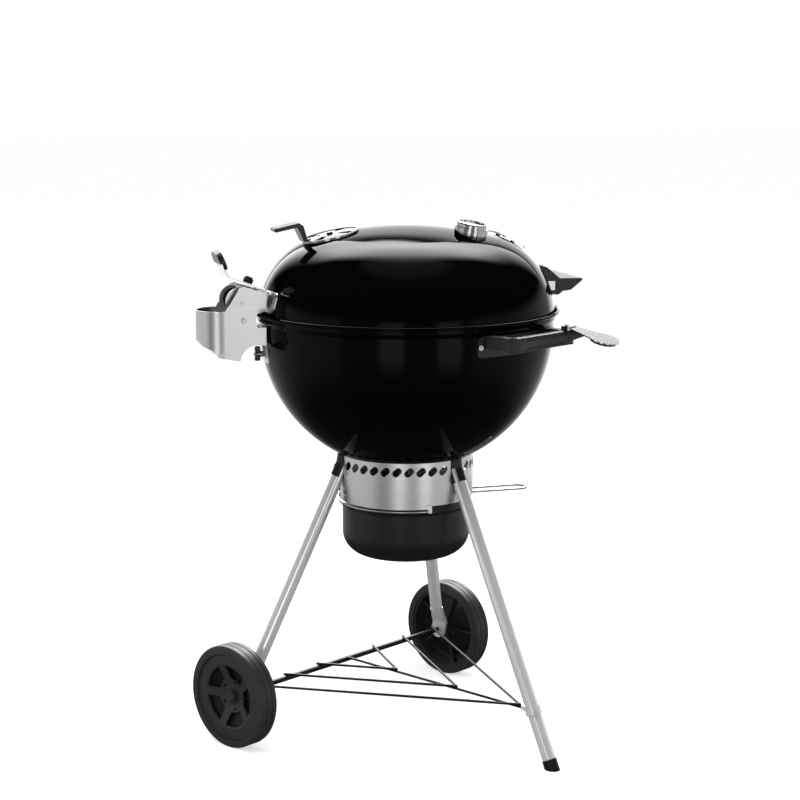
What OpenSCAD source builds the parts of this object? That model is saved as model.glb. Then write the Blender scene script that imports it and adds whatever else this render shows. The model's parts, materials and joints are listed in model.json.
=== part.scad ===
// Kettle charcoal grill with a hinged lid, standing on one foot and two wheels.
// The origin is on the floor, on the kettle's upright axis. +Z is up and the lid's handle faces -Y.
// The foot's leg stands at the front left, one wheel's leg at the front right and the other at the rear.

/* [Kettle] */
// Outer radius of the bowl
bowl_r = 284.5; // [250:0.5:320]
// Thickness of the enamelled sheet steel
shell_t = 1.5; // [1.2:0.1:2.2]
// Height of the middle of the bowl's rolled rim above the floor
rim_z = 831.5; // [790:0.5:880]
// Radius of the rolled rim
bead_r = 3.3; // [2.5:0.1:4.2]
// Radius of the rolled edge of the lid
lid_hem_r = 2.2; // [1.8:0.1:2.6]
// Radius of the lid's shoulder
lid_side_r = 157.5; // [135:0.5:180]
// Radius of the lid's crown
lid_crown_r = 682; // [600:1:780]

/* [Legs] */
// Distance of each leg's axis from the kettle's axis at the floor
leg_foot_r = 370; // [362:1:384]
// Space between the ash ring and each leg's axis, 500 mm above the floor
leg_out = 13.2; // [12.8:0.1:15]
// Outer diameter of the leg tube
leg_d = 25; // [22:0.5:27]
// Wall of the leg tube
leg_wall = 1.5; // [1:0.1:2.5]
// Wall of the sockets that hold the legs
socket_wall = 1.6; // [1.2:0.1:2.4]
// Length of the sockets below the bowl
socket_len = 42; // [34:1:48]
// Height of the foot's plastic cap
foot_cap_h = 19; // [14:1:26]
// Wall of the foot's plastic cap
foot_cap_wall = 1.3; // [1:0.1:2.5]

/* [Wheels] */
// Radius of the wheels over the tyre
wheel_r = 100; // [90:1:110]
// Width of the wheels
wheel_w = 40; // [32:1:46]
// Height of the tyre's section
tyre_h = 16; // [12:1:20]
// Number of spokes
spokes = 5; // [4:1:7]
// Width of a spoke
spoke_w = 17; // [12:1:20]
// Radius of the wheel's hub
hub_r = 21; // [17:1:25]
// Diameter of the axle
axle_d = 8; // [7:0.5:9]
// Thickness of the legs' pressed ends
press_t = 7; // [5:0.5:9]
// Width of the legs' pressed ends
press_w = 34; // [30:1:38]
// Space between each wheel and its leg
wheel_gap = 6.2; // [5:0.1:9]

/* [Bottom rack] */
// Diameter of the rack's crossbar, which the axle runs through
bar_d = 11; // [10.5:0.25:13]
// Diameter of the rack's wire
rack_wire_d = 5; // [4:0.25:6]
// Number of V-shaped wires
rack_vees = 3; // [2:1:4]
// Distance of the first V-shaped wire's point from the crossbar
vee_first = 137; // [110:1:150]
// Distance of the last V-shaped wire's point from the foot's clip
vee_last = 16; // [10:1:40]
// Angle of each V-shaped wire's arms from the middle wire, in degrees
vee_a = 30; // [26:0.5:30.5]

/* [Ash catcher] */
// Outer radius of the stainless ring
ring_r = 130; // [126:0.5:133]
// Thickness of the ring
ring_t = 1.2; // [1:0.1:1.6]
// Height of the ring below the bowl
ring_h = 97; // [88:1:106]
// Width of the slanting air holes in the ring
air_hole_d = 13; // [11:0.5:14]
// Length of the air holes
air_hole_l = 20; // [16:0.5:22]
// Number of air holes between two legs
air_holes = 10; // [7:1:10]
// Spacing of the air holes round the ring, in degrees
air_pitch = 10.1; // [8.5:0.1:10.5]
// Height of the rolled edge along the rear half of the ring
hem_h = 8; // [6:0.25:9.5]
// How far that rolled edge stands out
hem_out = 3.6; // [3:0.1:4.5]
// How much shorter the front half of the ring is
notch_h = 14; // [12:0.5:18]
// Depth of the ash pan
pan_h = 103; // [80:1:120]
// Radius of the ash pan's bottom corner
pan_corner_r = 45; // [30:1:55]
// Wall of the ash pan
pan_t = 1.5; // [1:0.1:2]
// Reach of the pan's wire handle from the kettle's axis
loop_reach = 252; // [225:1:280]
// Width of the pan's wire handle
loop_w = 40; // [32:1:48]
// Diameter of the pan handle's wire
loop_wire_d = 4.5; // [3.5:0.25:5]
// Reach of the cleaning lever from the kettle's axis
lever_reach = 228; // [190:1:236]
// Width of the cleaning lever
lever_w = 18; // [12:1:22]
// Diameter of the cleaning shaft
shaft_d = 8; // [6:0.5:10]

/* [Hinge] */
// Distance of the lid's hinge pin behind the bowl
hinge_back = 46.5; // [44:0.5:51]
// Height of the hinge pin above the rim
hinge_up = 29.5; // [28:0.5:32]
// Diameter of the hinge pin
hinge_pin_d = 8; // [6:0.5:9]
// Width of the hinge housing
cup_w = 90; // [84:1:100]
// Reach of the hinge housing behind the hinge pin
cup_depth = 78; // [74:1:86]
// Thickness of the hinge's stainless sheet
steel_t = 2.2; // [1.5:0.1:3]
// Width of the release lever
release_w = 55; // [48:1:58]

/* [Handles] */
// Length of the bowl's handles
grip_len = 170; // [140:1:190]
// Height of the bowl's handles
grip_h = 27; // [22:1:32]
// Thickness of the bowl's handles
grip_t = 17; // [14:1:20]
// Distance of the bowl's handles from the bowl
grip_out = 58.5; // [50:0.5:70]
// Angle of the bowl's handles from the front, in degrees
grip_az = 61.5; // [58:0.5:64]
// Radius of the round plate on the left handle
plate_r = 29; // [22:0.5:34]
// Length of the lid's handle
lid_grip_len = 150; // [110:1:160]
// Reach of the lid's handle from the lid's edge
lid_grip_out = 48; // [41:1:60]

/* [Lid fittings] */
// Radius of the thermometer's case
gauge_r = 32; // [28:0.5:34]
// Height of the thermometer's case above the lid
gauge_h = 21; // [18:0.5:26]
// Length of the thermometer's probe inside the lid
probe_len = 62; // [40:1:90]
// Radius of the damper's disc
damper_r = 56; // [48:0.5:60]
// Distance of the damper from the kettle's axis
damper_y = 150; // [138:1:154]
// Number of vent holes under the damper
vents = 4; // [3:1:4]
// Width of the damper's tab
tab_w = 36; // [28:1:42]
// Width of the plate on the lid's front
front_plate_w = 110; // [90:1:130]
// Height of the plate on the lid's front
front_plate_h = 45; // [36:1:54]

/* [Grates] */
// Space between the bowl and the cooking grate
grate_gap = 12.5; // [9:0.5:20]
// Depth of the cooking grate below the rim
grate_drop = 44; // [36:1:60]
// Diameter of the cooking grate's wire
grate_wire_d = 5; // [4:0.25:6]
// Number of bars in the cooking grate
grate_bars = 25; // [17:2:29]
// Distance of the flaps' hinge line from the middle
flap_x = 165; // [150:1:185]
// Radius of the charcoal grate
coal_r = 214; // [195:1:225]
// Number of bars in the charcoal grate
coal_bars = 13; // [9:2:17]

/* [Hidden] */
$fn = 96;

// Clearances: between pieces that only lie against each other, round a turning shaft,
// and round a shaft that sits loosely in a hole
seat = 0.3;
run_gap = 0.05;
loose = 0.2;
eps = 0.01;

// Legs: the foot's leg at the front left, then the right and the rear legs with the wheels
left_az = 210;
right_az = 330;
rear_az = 90;
stand_az = 30;
leg_r = leg_d / 2;
leg_lean = atan((leg_foot_r - ring_r - leg_out) / 500);
function leg_at(z) = leg_foot_r - z * tan(leg_lean);

// Kettle profile
bowl_c = rim_z - 23;
wall_top = rim_z - 18.5;
step_z = rim_z - 10.5;
lid_r = bowl_r + 0.5;
step_r = lid_r + 1.6;
mouth_r = step_r + 1.6;
rim_r = mouth_r + 2 * bead_r;
hinge_y = bowl_r + hinge_back;
cup_reach = hinge_y + cup_depth;
grip_d = bowl_r + grip_out;
lid_grip_reach = lid_r + lid_grip_out;
grate_r = bowl_r - grate_gap;
function bowl_z(r, out = 0) = bowl_c - sqrt(pow(bowl_r + out, 2) - r * r);
function bowl_at(z, out = 0) = sqrt(pow(bowl_r + out, 2) - pow(z - bowl_c, 2));

// The lid's edge rests on the step in the bowl's mouth
seat_run = step_r - (bowl_r - shell_t);
seat_rise = step_z - wall_top;
seat_slant = sqrt(seat_run * seat_run + seat_rise * seat_rise);
hem_x = lid_r - shell_t / 2 - 0.6;
hem_z = wall_top + ((hem_x - bowl_r + shell_t) * seat_rise / seat_slant + lid_hem_r + seat + 0.1)
  * seat_slant / seat_run;
lid_base = hem_z;
side_x = lid_r - lid_side_r;
crown_c = lid_base - sqrt(pow(lid_crown_r - lid_side_r, 2) - side_x * side_x);
crown_a = acos(side_x / (lid_crown_r - lid_side_r));

// Sheet outlines: the bowl's ball, and the lid's crown blending into its shoulder
module ball(out) { translate([0, bowl_c]) circle(r = bowl_r + out, $fn = 192); }
module pot(out) {
  rotate_extrude($fn = 192) {
    intersection() {
      ball(out);
      translate([0, bowl_c - bowl_r - out]) square([bowl_r + out, bowl_r + out]);
    }
    polygon([[0, bowl_c], [bowl_r + out, bowl_c], [bowl_r + out, wall_top],
      [step_r + shell_t + out, step_z], [mouth_r + shell_t + out, rim_z], [0, rim_z]]);
  }
}
module dome(out) {
  far = 2 * lid_crown_r;
  intersection() {
    union() {
      translate([side_x, lid_base]) circle(r = lid_side_r + out, $fn = 192);
      intersection() {
        translate([0, crown_c]) circle(r = lid_crown_r + out, $fn = 192);
        polygon([[0, crown_c], [far * cos(crown_a), crown_c + far * sin(crown_a)], [0, crown_c + far]]);
      }
    }
    translate([0, lid_base]) square([lid_r + out, lid_crown_r]);
  }
}
module lid_form(out) { rotate_extrude($fn = 192) dome(out); }

// Places an axis-up piece on the lid's crown, z = 0 at the outer face
module on_crown(az, r) {
  rotate([0, 0, az]) translate([0, 0, crown_c]) rotate([0, asin(r / lid_crown_r), 0])
    translate([0, 0, lid_crown_r]) children();
}
// Places a piece on a leg's axis, z = 0 at the floor
module on_leg(az) {
  rotate([0, 0, az]) translate([leg_foot_r, 0, 0]) rotate([0, -leg_lean, 0]) children();
}
module turned(az) { rotate([0, 0, az]) children(); }
// A bar along X between two values
module bar_x(x0, x1, r) { translate([x0, 0, 0]) rotate([0, 90, 0]) cylinder(r = r, h = x1 - x0); }
module bar_y(y0, y1, r) { translate([0, y0, 0]) rotate([-90, 0, 0]) cylinder(r = r, h = y1 - y0); }
// Extrudes an outline drawn in Y and Z along X, between two values
module side_cut(x0, x1) {
  translate([x0, 0, 0]) rotate([90, 0, 90]) linear_extrude(x1 - x0) children();
}
module tube(r, wall, h) {
  difference() {
    cylinder(r = r, h = h);
    translate([0, 0, -1]) cylinder(r = r - wall, h = h + 2);
  }
}
module ring(r, wire_r) { rotate_extrude() translate([r, 0]) circle(r = wire_r, $fn = 32); }
// A flat wedge about the axis, between two angles up to 120 degrees apart
module wedge(a0, a1, r, h) {
  far = r / cos((a1 - a0) / 2);
  linear_extrude(h) polygon([[0, 0], [far * cos(a0), far * sin(a0)],
    [r * cos((a0 + a1) / 2) * 1.2, r * sin((a0 + a1) / 2) * 1.2], [far * cos(a1), far * sin(a1)]]);
}
module rounded(w, h, r) {
  square([w - 2 * r, h], center = true);
  square([w, h - 2 * r], center = true);
  for (x = [-1, 1], y = [-1, 1]) translate([x * (w / 2 - r), y * (h / 2 - r)]) circle(r = r, $fn = 32);
}
// A sphere about the middle of the bowl
module orb(out) { translate([0, 0, bowl_c]) sphere(r = bowl_r + out, $fn = 192); }

// ---- Bowl ----
vent_in = 34;
vent_out = 76;
vent_a = 20;
shaft_r = shaft_d / 2;
module bowl() {
  color("#17181a") difference() {
    rotate_extrude($fn = 192) {
      intersection() {
        difference() { ball(0); ball(-shell_t); }
        translate([0, bowl_c - bowl_r]) square([bowl_r, bowl_r]);
      }
      polygon([[bowl_r - shell_t, bowl_c], [bowl_r, bowl_c], [bowl_r, wall_top],
        [step_r + shell_t, step_z], [mouth_r + shell_t, rim_z], [mouth_r, rim_z],
        [step_r, step_z], [bowl_r - shell_t, wall_top]]);
      translate([mouth_r + bead_r, rim_z]) circle(r = bead_r, $fn = 32);
    }
    translate([0, 0, bowl_z(0) - 1]) cylinder(r = shaft_r + run_gap, h = shell_t + 5);
    for (i = [0:2]) turned(120 * i) translate([0, 0, bowl_z(0) - 1]) difference() {
      intersection() {
        wedge(-vent_a, vent_a, vent_out, 40);
        cylinder(r = vent_out, h = 40);
      }
      translate([0, 0, -1]) cylinder(r = vent_in, h = 42);
    }
  }
}

// ---- Legs and their sockets ----
socket_r = leg_r + loose + socket_wall;
bowl_s = (bowl_z(leg_at(bowl_z(120))) + 0) / cos(leg_lean);
socket_s = bowl_s - socket_len;
leg_top_s = bowl_s - leg_r * tan(leg_lean) - 8;
bolt_s = socket_s + socket_len * 0.4;
slot_w = 9;
bolt_r = 2.5;
module leg_sockets() {
  color("#232426") for (leg = [[left_az, -65], [right_az, 97], [rear_az, 97]]) difference() {
    on_leg(leg[0]) union() {
      translate([0, 0, socket_s]) cylinder(r = socket_r, h = socket_len + 40);
      translate([0, 0, bowl_s - 16]) cylinder(r1 = socket_r, r2 = socket_r + 3.5, h = 14);
      translate([0, 0, bowl_s - 2]) cylinder(r = socket_r + 3.5, h = 40);
    }
    orb(0);
    on_leg(leg[0]) {
      translate([0, 0, socket_s - 1]) cylinder(r = leg_r + loose, h = leg_top_s - socket_s + 2);
      // The socket is slit lengthwise, beside the bolt
      turned(leg[1]) translate([0, -slot_w / 2, socket_s - 1]) cube([socket_r + 1, slot_w, socket_len - 14]);
      translate([0, 0, bolt_s]) bar_x(0, socket_r + 9, bolt_r);
    }
  }
}
module socket_bolts() {
  color("#c8c9cb") for (az = [left_az, right_az, rear_az]) on_leg(az) translate([0, 0, bolt_s]) {
    bar_x(leg_r - leg_wall - 3, socket_r + 1, bolt_r);
    bar_x(socket_r, socket_r + 2, 3.5);
  }
}
module leg_tube(az, s0) {
  difference() {
    on_leg(az) translate([0, 0, s0]) tube(leg_r, leg_wall, leg_top_s - s0);
    on_leg(az) translate([0, 0, bolt_s]) bar_x(0, leg_r + 2, bolt_r);
  }
}

// Foot: the cap's floor is cut flat on the ground
foot_r = leg_r + run_gap + foot_cap_wall;
foot_s = (2 * foot_cap_wall + leg_r * sin(leg_lean)) / cos(leg_lean);
module leg_left() { color("#d9dadc") leg_tube(left_az, foot_s); }
module foot_cap() {
  color("#1c1d1f") difference() {
    on_leg(left_az) translate([0, 0, -20]) cylinder(r = foot_r, h = foot_cap_h + 20);
    on_leg(left_az) translate([0, 0, foot_s]) cylinder(r = leg_r + run_gap, h = foot_cap_h);
    translate([-500, -500, -50]) cube([1000, 1000, 50]);
  }
}

// Wheels: the stand's own X points away from the foot, and Y runs along the axle
axle_r = axle_d / 2;
axle_x = leg_at(wheel_r) * cos(60);
press_y = leg_at(wheel_r) * sin(60);
wheel_y = press_y + press_t / 2 + wheel_gap + wheel_w / 2;
press_top = wheel_r + 18;
tube_s = (press_top + 34) / cos(leg_lean);
module pressed_leg(side) {
  az = stand_az + side * 60;
  lean_x = tan(leg_lean) * cos(60) * (press_top - wheel_r);
  difference() {
    union() {
      leg_tube(az, tube_s);
      hull() {
        on_leg(az) translate([0, 0, tube_s - 1]) cylinder(r = leg_r + 0.4, h = 4, $fn = 32);
        turned(stand_az) translate([axle_x - lean_x, side * press_y, press_top - 2])
          translate([-press_w / 2 - 0.3, -press_t / 2 - 0.3, 0]) cube([press_w + 0.6, press_t + 0.6, 2]);
      }
      turned(stand_az) translate([0, side * press_y + press_t / 2, 0]) rotate([90, 0, 0])
        linear_extrude(press_t) {
          translate([axle_x, wheel_r]) circle(r = press_w / 2);
          polygon([[axle_x - press_w / 2, wheel_r], [axle_x + press_w / 2, wheel_r],
            [axle_x - lean_x + press_w / 2, press_top], [axle_x - lean_x - press_w / 2, press_top]]);
        }
    }
    on_axle() translate([0, 0, -wheel_y]) cylinder(r = axle_r + loose, h = 2 * wheel_y);
  }
}
module on_axle() { turned(stand_az) translate([axle_x, 0, wheel_r]) rotate([-90, 0, 0]) children(); }
module leg_right() { color("#d9dadc") pressed_leg(-1); }
module leg_rear() { color("#d9dadc") pressed_leg(1); }

// The wheel's own frame: Z along the axle and outward, 0 in the middle of the tyre
seat_r = wheel_r - tyre_h;
face_z = wheel_w / 2 - 4;
dish_z = 3;
rim_in = seat_r - 20;
cap_r = 9;
cap_z = dish_z + 6;
axle_end = wheel_y + cap_z;
module wheel() {
  difference() {
    union() {
      rotate_extrude() {
        polygon([[seat_r - 5, 3 - wheel_w / 2], [seat_r, 3 - wheel_w / 2], [seat_r, face_z],
          [rim_in, face_z], [hub_r, dish_z], [hub_r, dish_z - 4], [rim_in, face_z - 4],
          [seat_r - 5, face_z - 4]]);
        translate([seat_r - 2, face_z]) circle(r = 2, $fn = 32);
        translate([axle_r + run_gap, seat - wheel_gap - wheel_w / 2])
          square([hub_r - 6 - axle_r, wheel_gap + wheel_w / 2 - seat + dish_z]);
        translate([axle_r + run_gap, dish_z - 6]) square([hub_r - axle_r, 6]);
        translate([cap_r + 1, dish_z]) square([2.5, 6]);
      }
      for (i = [0:spokes - 1]) turned((i + 0.5) * 360 / spokes)
        translate([hub_r - 8, -1.5, -8]) cube([seat_r - hub_r + 6, 3, 10]);
    }
    translate([0, 0, -wheel_w]) cylinder(r = axle_r + run_gap, h = 2 * wheel_w);
    translate([0, 0, 0]) linear_extrude(wheel_w) difference() {
      circle(r = rim_in - 4);
      circle(r = hub_r + 12);
      for (i = [0:spokes - 1]) turned(i * 360 / spokes) translate([0, -spoke_w / 2]) square([seat_r, spoke_w]);
    }
    for (i = [0:spokes - 1]) turned((i + 0.5) * 360 / spokes)
      translate([hub_r + 6, 0, 0]) cylinder(r = 3, h = wheel_w);
  }
}
module tyre() {
  edge = 5;
  rotate_extrude() difference() {
    union() {
      translate([seat_r, -wheel_w / 2 + edge]) square([tyre_h, wheel_w - 2 * edge]);
      translate([seat_r, -wheel_w / 2]) square([tyre_h - edge, wheel_w]);
      for (s = [-1, 1]) translate([wheel_r - edge, s * (wheel_w / 2 - edge)]) circle(r = edge, $fn = 32);
    }
    for (s = [-1, 1]) translate([wheel_r, s * wheel_w / 6]) circle(r = 1.2, $fn = 32);
  }
}
module on_wheel(side) {
  on_axle() rotate([side > 0 ? 0 : 180, 0, 0]) translate([0, 0, wheel_y]) children();
}
module wheel_rear() { color("#3d3e40") on_wheel(1) wheel(); }
module wheel_right() { color("#3d3e40") on_wheel(-1) wheel(); }
module tyre_rear() { color("#2b2c2e") on_wheel(1) tyre(); }
module tyre_right() { color("#2b2c2e") on_wheel(-1) tyre(); }
module axle() { color("#b9babc") on_axle() translate([0, 0, -axle_end]) cylinder(r = axle_r, h = 2 * axle_end); }
// Push cap over the axle's end, outside the hub's bearing
module axle_cap() {
  difference() {
    translate([0, 0, dish_z + seat]) cylinder(r = cap_r, h = 7);
    translate([0, 0, dish_z]) cylinder(r = axle_r, h = cap_z - dish_z);
  }
}
module axle_cap_rear() { color("#2b2c2e") on_wheel(1) axle_cap(); }
module axle_cap_right() { color("#2b2c2e") on_wheel(-1) axle_cap(); }

// ---- Bottom rack ----
bar_r = bar_d / 2;
rack_r = rack_wire_d / 2;
weld = 0.3;
rack_z = wheel_r + bar_r + rack_r - weld;
mid_z = rack_z - rack_wire_d + weld;
vee_end = axle_x + bar_r;
foot_x = -leg_at(mid_z);
clip_wall = 2.5;
clip_r = leg_r + run_gap + clip_wall;
clip_x = foot_x + clip_r / cos(leg_lean);
vee_pitch = (axle_x - vee_first - clip_x - vee_last) / (rack_vees - 1);
module bottom_rack() {
  color("#b4b5b7") {
    difference() {
      on_axle() translate([0, 0, seat - press_y + press_t / 2])
        cylinder(r = bar_r, h = 2 * (press_y - press_t / 2 - seat));
      on_axle() translate([0, 0, -press_y]) cylinder(r = axle_r + loose, h = 2 * press_y);
    }
    // V-shaped wires on the crossbar, and the middle wire under them
    turned(stand_az) {
      for (i = [0:rack_vees - 1]) let (tip = axle_x - vee_first - i * vee_pitch)
        translate([tip, 0, rack_z]) {
          sphere(r = rack_r + 0.4, $fn = 32);
          for (s = [-1, 1]) rotate([0, 0, s * vee_a]) bar_x(0, (vee_end - tip) / cos(vee_a), rack_r);
        }
      translate([0, 0, mid_z]) bar_x(clip_x - 1, axle_x - bar_r + 0.6, rack_r);
    }
  }
}
module rack_clip() {
  color("#8c8d90") difference() {
    union() {
      on_leg(left_az) translate([0, 0, mid_z / cos(leg_lean) - 7]) cylinder(r = clip_r, h = 14);
      turned(stand_az) translate([0, 0, mid_z]) bar_x(foot_x, clip_x + 10, rack_r + 2);
    }
    on_leg(left_az) translate([0, 0, mid_z / cos(leg_lean) - 20]) cylinder(r = leg_r + run_gap, h = 40);
    turned(stand_az) translate([0, 0, mid_z]) bar_x(clip_x - 1, clip_x + 20, rack_r);
  }
}

// ---- Ash catcher ----
ring_top = bowl_z(ring_r, seat);
ring_bottom = ring_top - ring_h;
hem_r = hem_h / 2;
hole_z = ring_top - 17;
hole_slant = 42;
slot_z = ring_bottom + 46;
lever_az = 312;
lever_turn = 30;
lever_t = 3;
module ash_ring() {
  // A small plate at each end of the rolled edge
  color("#a7a8aa") for (s = [0, 1]) mirror([s, 0, 0])
    translate([ring_r - 1, -10, ring_bottom + 0.5]) cube([2.5, 11, notch_h + 1.5]);
  color("#a7a8aa") difference() {
    union() {
      difference() {
        translate([0, 0, ring_bottom]) tube(ring_r, ring_t, ring_h + 20);
        orb(seat);
      }
      // The rolled edge runs along the rear half only
      intersection() {
        rotate_extrude() {
          difference() {
            translate([ring_r + hem_out - hem_r, ring_bottom + hem_r]) circle(r = hem_r, $fn = 32);
            translate([ring_r + hem_out - hem_r, ring_bottom + hem_r]) circle(r = hem_r - ring_t, $fn = 32);
            translate([0, ring_bottom - 1]) square([ring_r - ring_t / 2, hem_h + 2]);
          }
        }
        translate([-ring_r * 2, -3, 0]) cube([ring_r * 4, ring_r * 4, ring_top]);
      }
    }
    translate([-ring_r * 2, -ring_r * 4 - 3, ring_bottom - 1]) cube([ring_r * 4, ring_r * 4, notch_h + 1]);
    // Room for the legs, their sockets and the hanger's rivets
    for (az = [left_az, right_az, rear_az]) on_leg(az) {
      translate([0, 0, socket_s - 60]) cylinder(r = leg_r + 1, h = 2 * ring_h);
      translate([0, 0, socket_s - 1]) cylinder(r = socket_r + 0.5, h = 2 * ring_h);
      translate([0, 0, bowl_s - 17]) cylinder(r1 = socket_r + 0.5, r2 = socket_r + 4, h = 14);
      translate([0, 0, bowl_s - 3]) cylinder(r = socket_r + 4, h = ring_h);
    }
    hanger_rivets(ring_r - 10, ring_r + 10);
    for (g = [left_az, right_az, rear_az], i = [0:air_holes - 1])
      turned(g + 60 + (i - (air_holes - 1) / 2) * air_pitch) translate([0, 0, hole_z])
        side_cut(ring_r - 20, ring_r + 20) rotate(hole_slant)
          rounded(air_hole_l, air_hole_d, air_hole_d / 2 - 0.5);
    slot_half = asin(lever_w / 2 / ring_r) + 1.5;
    translate([0, 0, slot_z - 5]) intersection() {
      wedge(lever_az - lever_turn - slot_half, lever_az + slot_half, ring_r + 10, 10);
      cylinder(r = ring_r + 10, h = 10);
    }
  }
}

// The pan hangs on a rod inside the ring and swings down at the front
pan_r = ring_r - 6.5;
lip_r = 2;
pan_top = ring_bottom - 3;
pan_base = pan_top - pan_h + lip_r;
hang_y = ring_r - 10;
hang_z = ring_bottom + 5;
rod_r = 2.5;
hang_w = 26;
loop_r = loop_wire_d / 2;
loop_side = loop_w / 2 - loop_r;
loop_z = ring_bottom + notch_h - loop_r - 2;
module pan_line(out) {
  r = pan_r + out;
  c = pan_corner_r + out;
  translate([0, pan_base - out]) square([r - c, pan_h + out]);
  translate([r - c, pan_base - out + c]) circle(r = c, $fn = 128);
  translate([0, pan_base - out + c]) square([r, pan_h - lip_r - c + out]);
}
module ash_pan() {
  color("#4b4c4e") {
    difference() {
      rotate_extrude() intersection() {
        union() {
          difference() {
            pan_line(0);
            pan_line(-pan_t);
            translate([0, pan_top - lip_r]) square([pan_r - pan_t, pan_h]);
          }
          translate([pan_r + 0.5, pan_top - lip_r]) circle(r = lip_r, $fn = 32);
          translate([pan_r - pan_t, pan_top - 1]) square([pan_t, notch_h + 3]);
        }
        translate([0, pan_base - 1]) square([ring_r, pan_h * 2]);
      }
      // The front wall stands higher than the rest, and the handle's wire runs through it
      translate([-ring_r, -6, pan_top]) cube([2 * ring_r, 2 * ring_r, 2 * notch_h]);
      for (s = [-1, 1]) translate([s * loop_side, 0, loop_z]) bar_y(-ring_r, -ring_r / 2, loop_r);
    }
    // Knuckle
    difference() {
      union() {
        translate([-hang_w / 2 + 4 + seat, hang_y, hang_z]) rotate([0, 90, 0])
          cylinder(r = rod_r + 2.5, h = hang_w - 8 - 2 * seat);
        translate([-hang_w / 2 + 4 + seat, hang_y - 3, pan_top - 8])
          cube([hang_w - 8 - 2 * seat, pan_r - pan_t - hang_y + 3.5, hang_z - pan_top + 8]);
      }
      translate([0, hang_y, hang_z]) bar_x(-hang_w, hang_w, rod_r + run_gap);
    }
  }
}
module hanger_rivets(x0, x1, r = 3) {
  for (s = [-1, 1], z = [hang_z + 9, hang_z + 21]) rotate([0, 0, 90 + s * 8.5]) translate([0, 0, z])
    bar_x(x0, x1, r);
}
module ring_rivets() {
  color("#8f9092") {
    hanger_rivets(ring_r - ring_t - 3.5, ring_r + 0.5);
    hanger_rivets(ring_r, ring_r + 1.8, 4.2);
  }
}
module pan_hanger() {
  color("#8f9092") {
    difference() {
      translate([-hang_w, 0, hang_z - 4]) intersection() {
        cube([2 * hang_w, ring_r, 31]);
        translate([hang_w, 0, -1]) difference() {
          cylinder(r = ring_r - ring_t, h = 40);
          translate([0, 0, -1]) cylinder(r = ring_r - ring_t - 2, h = 42);
        }
      }
      hanger_rivets(ring_r - 10, ring_r + 10);
    }
    for (s = [-1, 1]) translate([s * (hang_w / 2 - 2) - 2, 0, 0]) intersection() {
      union() {
        translate([0, hang_y, hang_z]) rotate([0, 90, 0]) cylinder(r = rod_r + 3, h = 4);
        translate([0, hang_y, hang_z - rod_r - 3]) cube([4, 20, 2 * rod_r + 6]);
      }
      translate([s * (2 - hang_w / 2) + 2, 0, 0]) cylinder(r = ring_r - ring_t, h = ring_top);
    }
    translate([0, hang_y, hang_z]) bar_x(-hang_w / 2 - 2, hang_w / 2 + 2, rod_r);
  }
}
// Wire handle on the pan: two legs over the front wall, joined by a round end
module pan_handle() {
  foot_y = -(pan_r - pan_t - loop_r - 0.2);
  color("#c9cacc") {
    for (s = [-1, 1]) {
      translate([s * loop_side, -loop_reach + loop_w / 2, loop_z]) bar_y(0, loop_reach - loop_w / 2 + foot_y, loop_r);
      translate([s * loop_side, foot_y, loop_z]) sphere(r = loop_r, $fn = 32);
      translate([s * loop_side, foot_y + 1.5, pan_top - 34]) cylinder(r = loop_r, h = loop_z - pan_top + 34);
    }
    translate([0, -loop_reach + loop_w / 2, loop_z]) rotate([0, 0, 180]) rotate_extrude(angle = 180)
      translate([loop_side, 0]) circle(r = loop_r, $fn = 32);
  }
}
// Cleaning blades inside the bowl, turned by the lever under it
blade_gap = 0.4;
module sweep_blades() {
  color("#77787b") {
    difference() {
      intersection() {
        difference() { orb(-shell_t - blade_gap); orb(-shell_t - blade_gap - 2); }
        union() {
          for (i = [0:2]) turned(120 * i) translate([0, 0, bowl_z(0)]) intersection() {
            wedge(-vent_a - 4, vent_a + 4, vent_out + 6, 40);
            cylinder(r = vent_out + 6, h = 40);
          }
          translate([0, 0, bowl_z(0)]) cylinder(r = 24, h = 20);
        }
      }
      translate([0, 0, bowl_z(0)]) cylinder(r = shaft_r, h = 20);
    }
    for (i = [0:2]) turned(120 * i) difference() {
      translate([22, -1, bowl_z(22)]) cube([vent_out - 22, 2, 14 + bowl_z(vent_out) - bowl_z(22)]);
      difference() {
        translate([0, 0, bowl_z(0) - 9]) cylinder(r = 2 * vent_out, h = 90);
        orb(-shell_t - blade_gap - 2 + eps);
      }
    }
  }
}
module cleaning_lever() {
  color("#9a9b9e") {
    translate([0, 0, slot_z - lever_t / 2]) cylinder(r = shaft_r, h = bowl_z(0) + shell_t + blade_gap + 8 - slot_z);
    translate([0, 0, bowl_z(0) + shell_t + blade_gap + 2.2]) cylinder(r = 9, h = 4);
    translate([0, 0, slot_z - lever_t / 2]) cylinder(r = 12, h = 8);
    turned(lever_az) translate([0, 0, slot_z - lever_t / 2]) {
      translate([0, -lever_w / 2, 0]) cube([lever_reach - lever_w / 2, lever_w, lever_t]);
      translate([lever_reach - lever_w / 2, 0, 0]) cylinder(r = lever_w / 2, h = lever_t);
    }
  }
}

// ---- Bowl handles ----
grip_z = rim_z - 27.5;
pad_t = 4;
pad_w = grip_len + 22;
pad_h = 38;
arm_w = 17;
strap_t = 2.2;
plate_tilt = 14.6;
plate_x = grip_d + 70;
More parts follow.
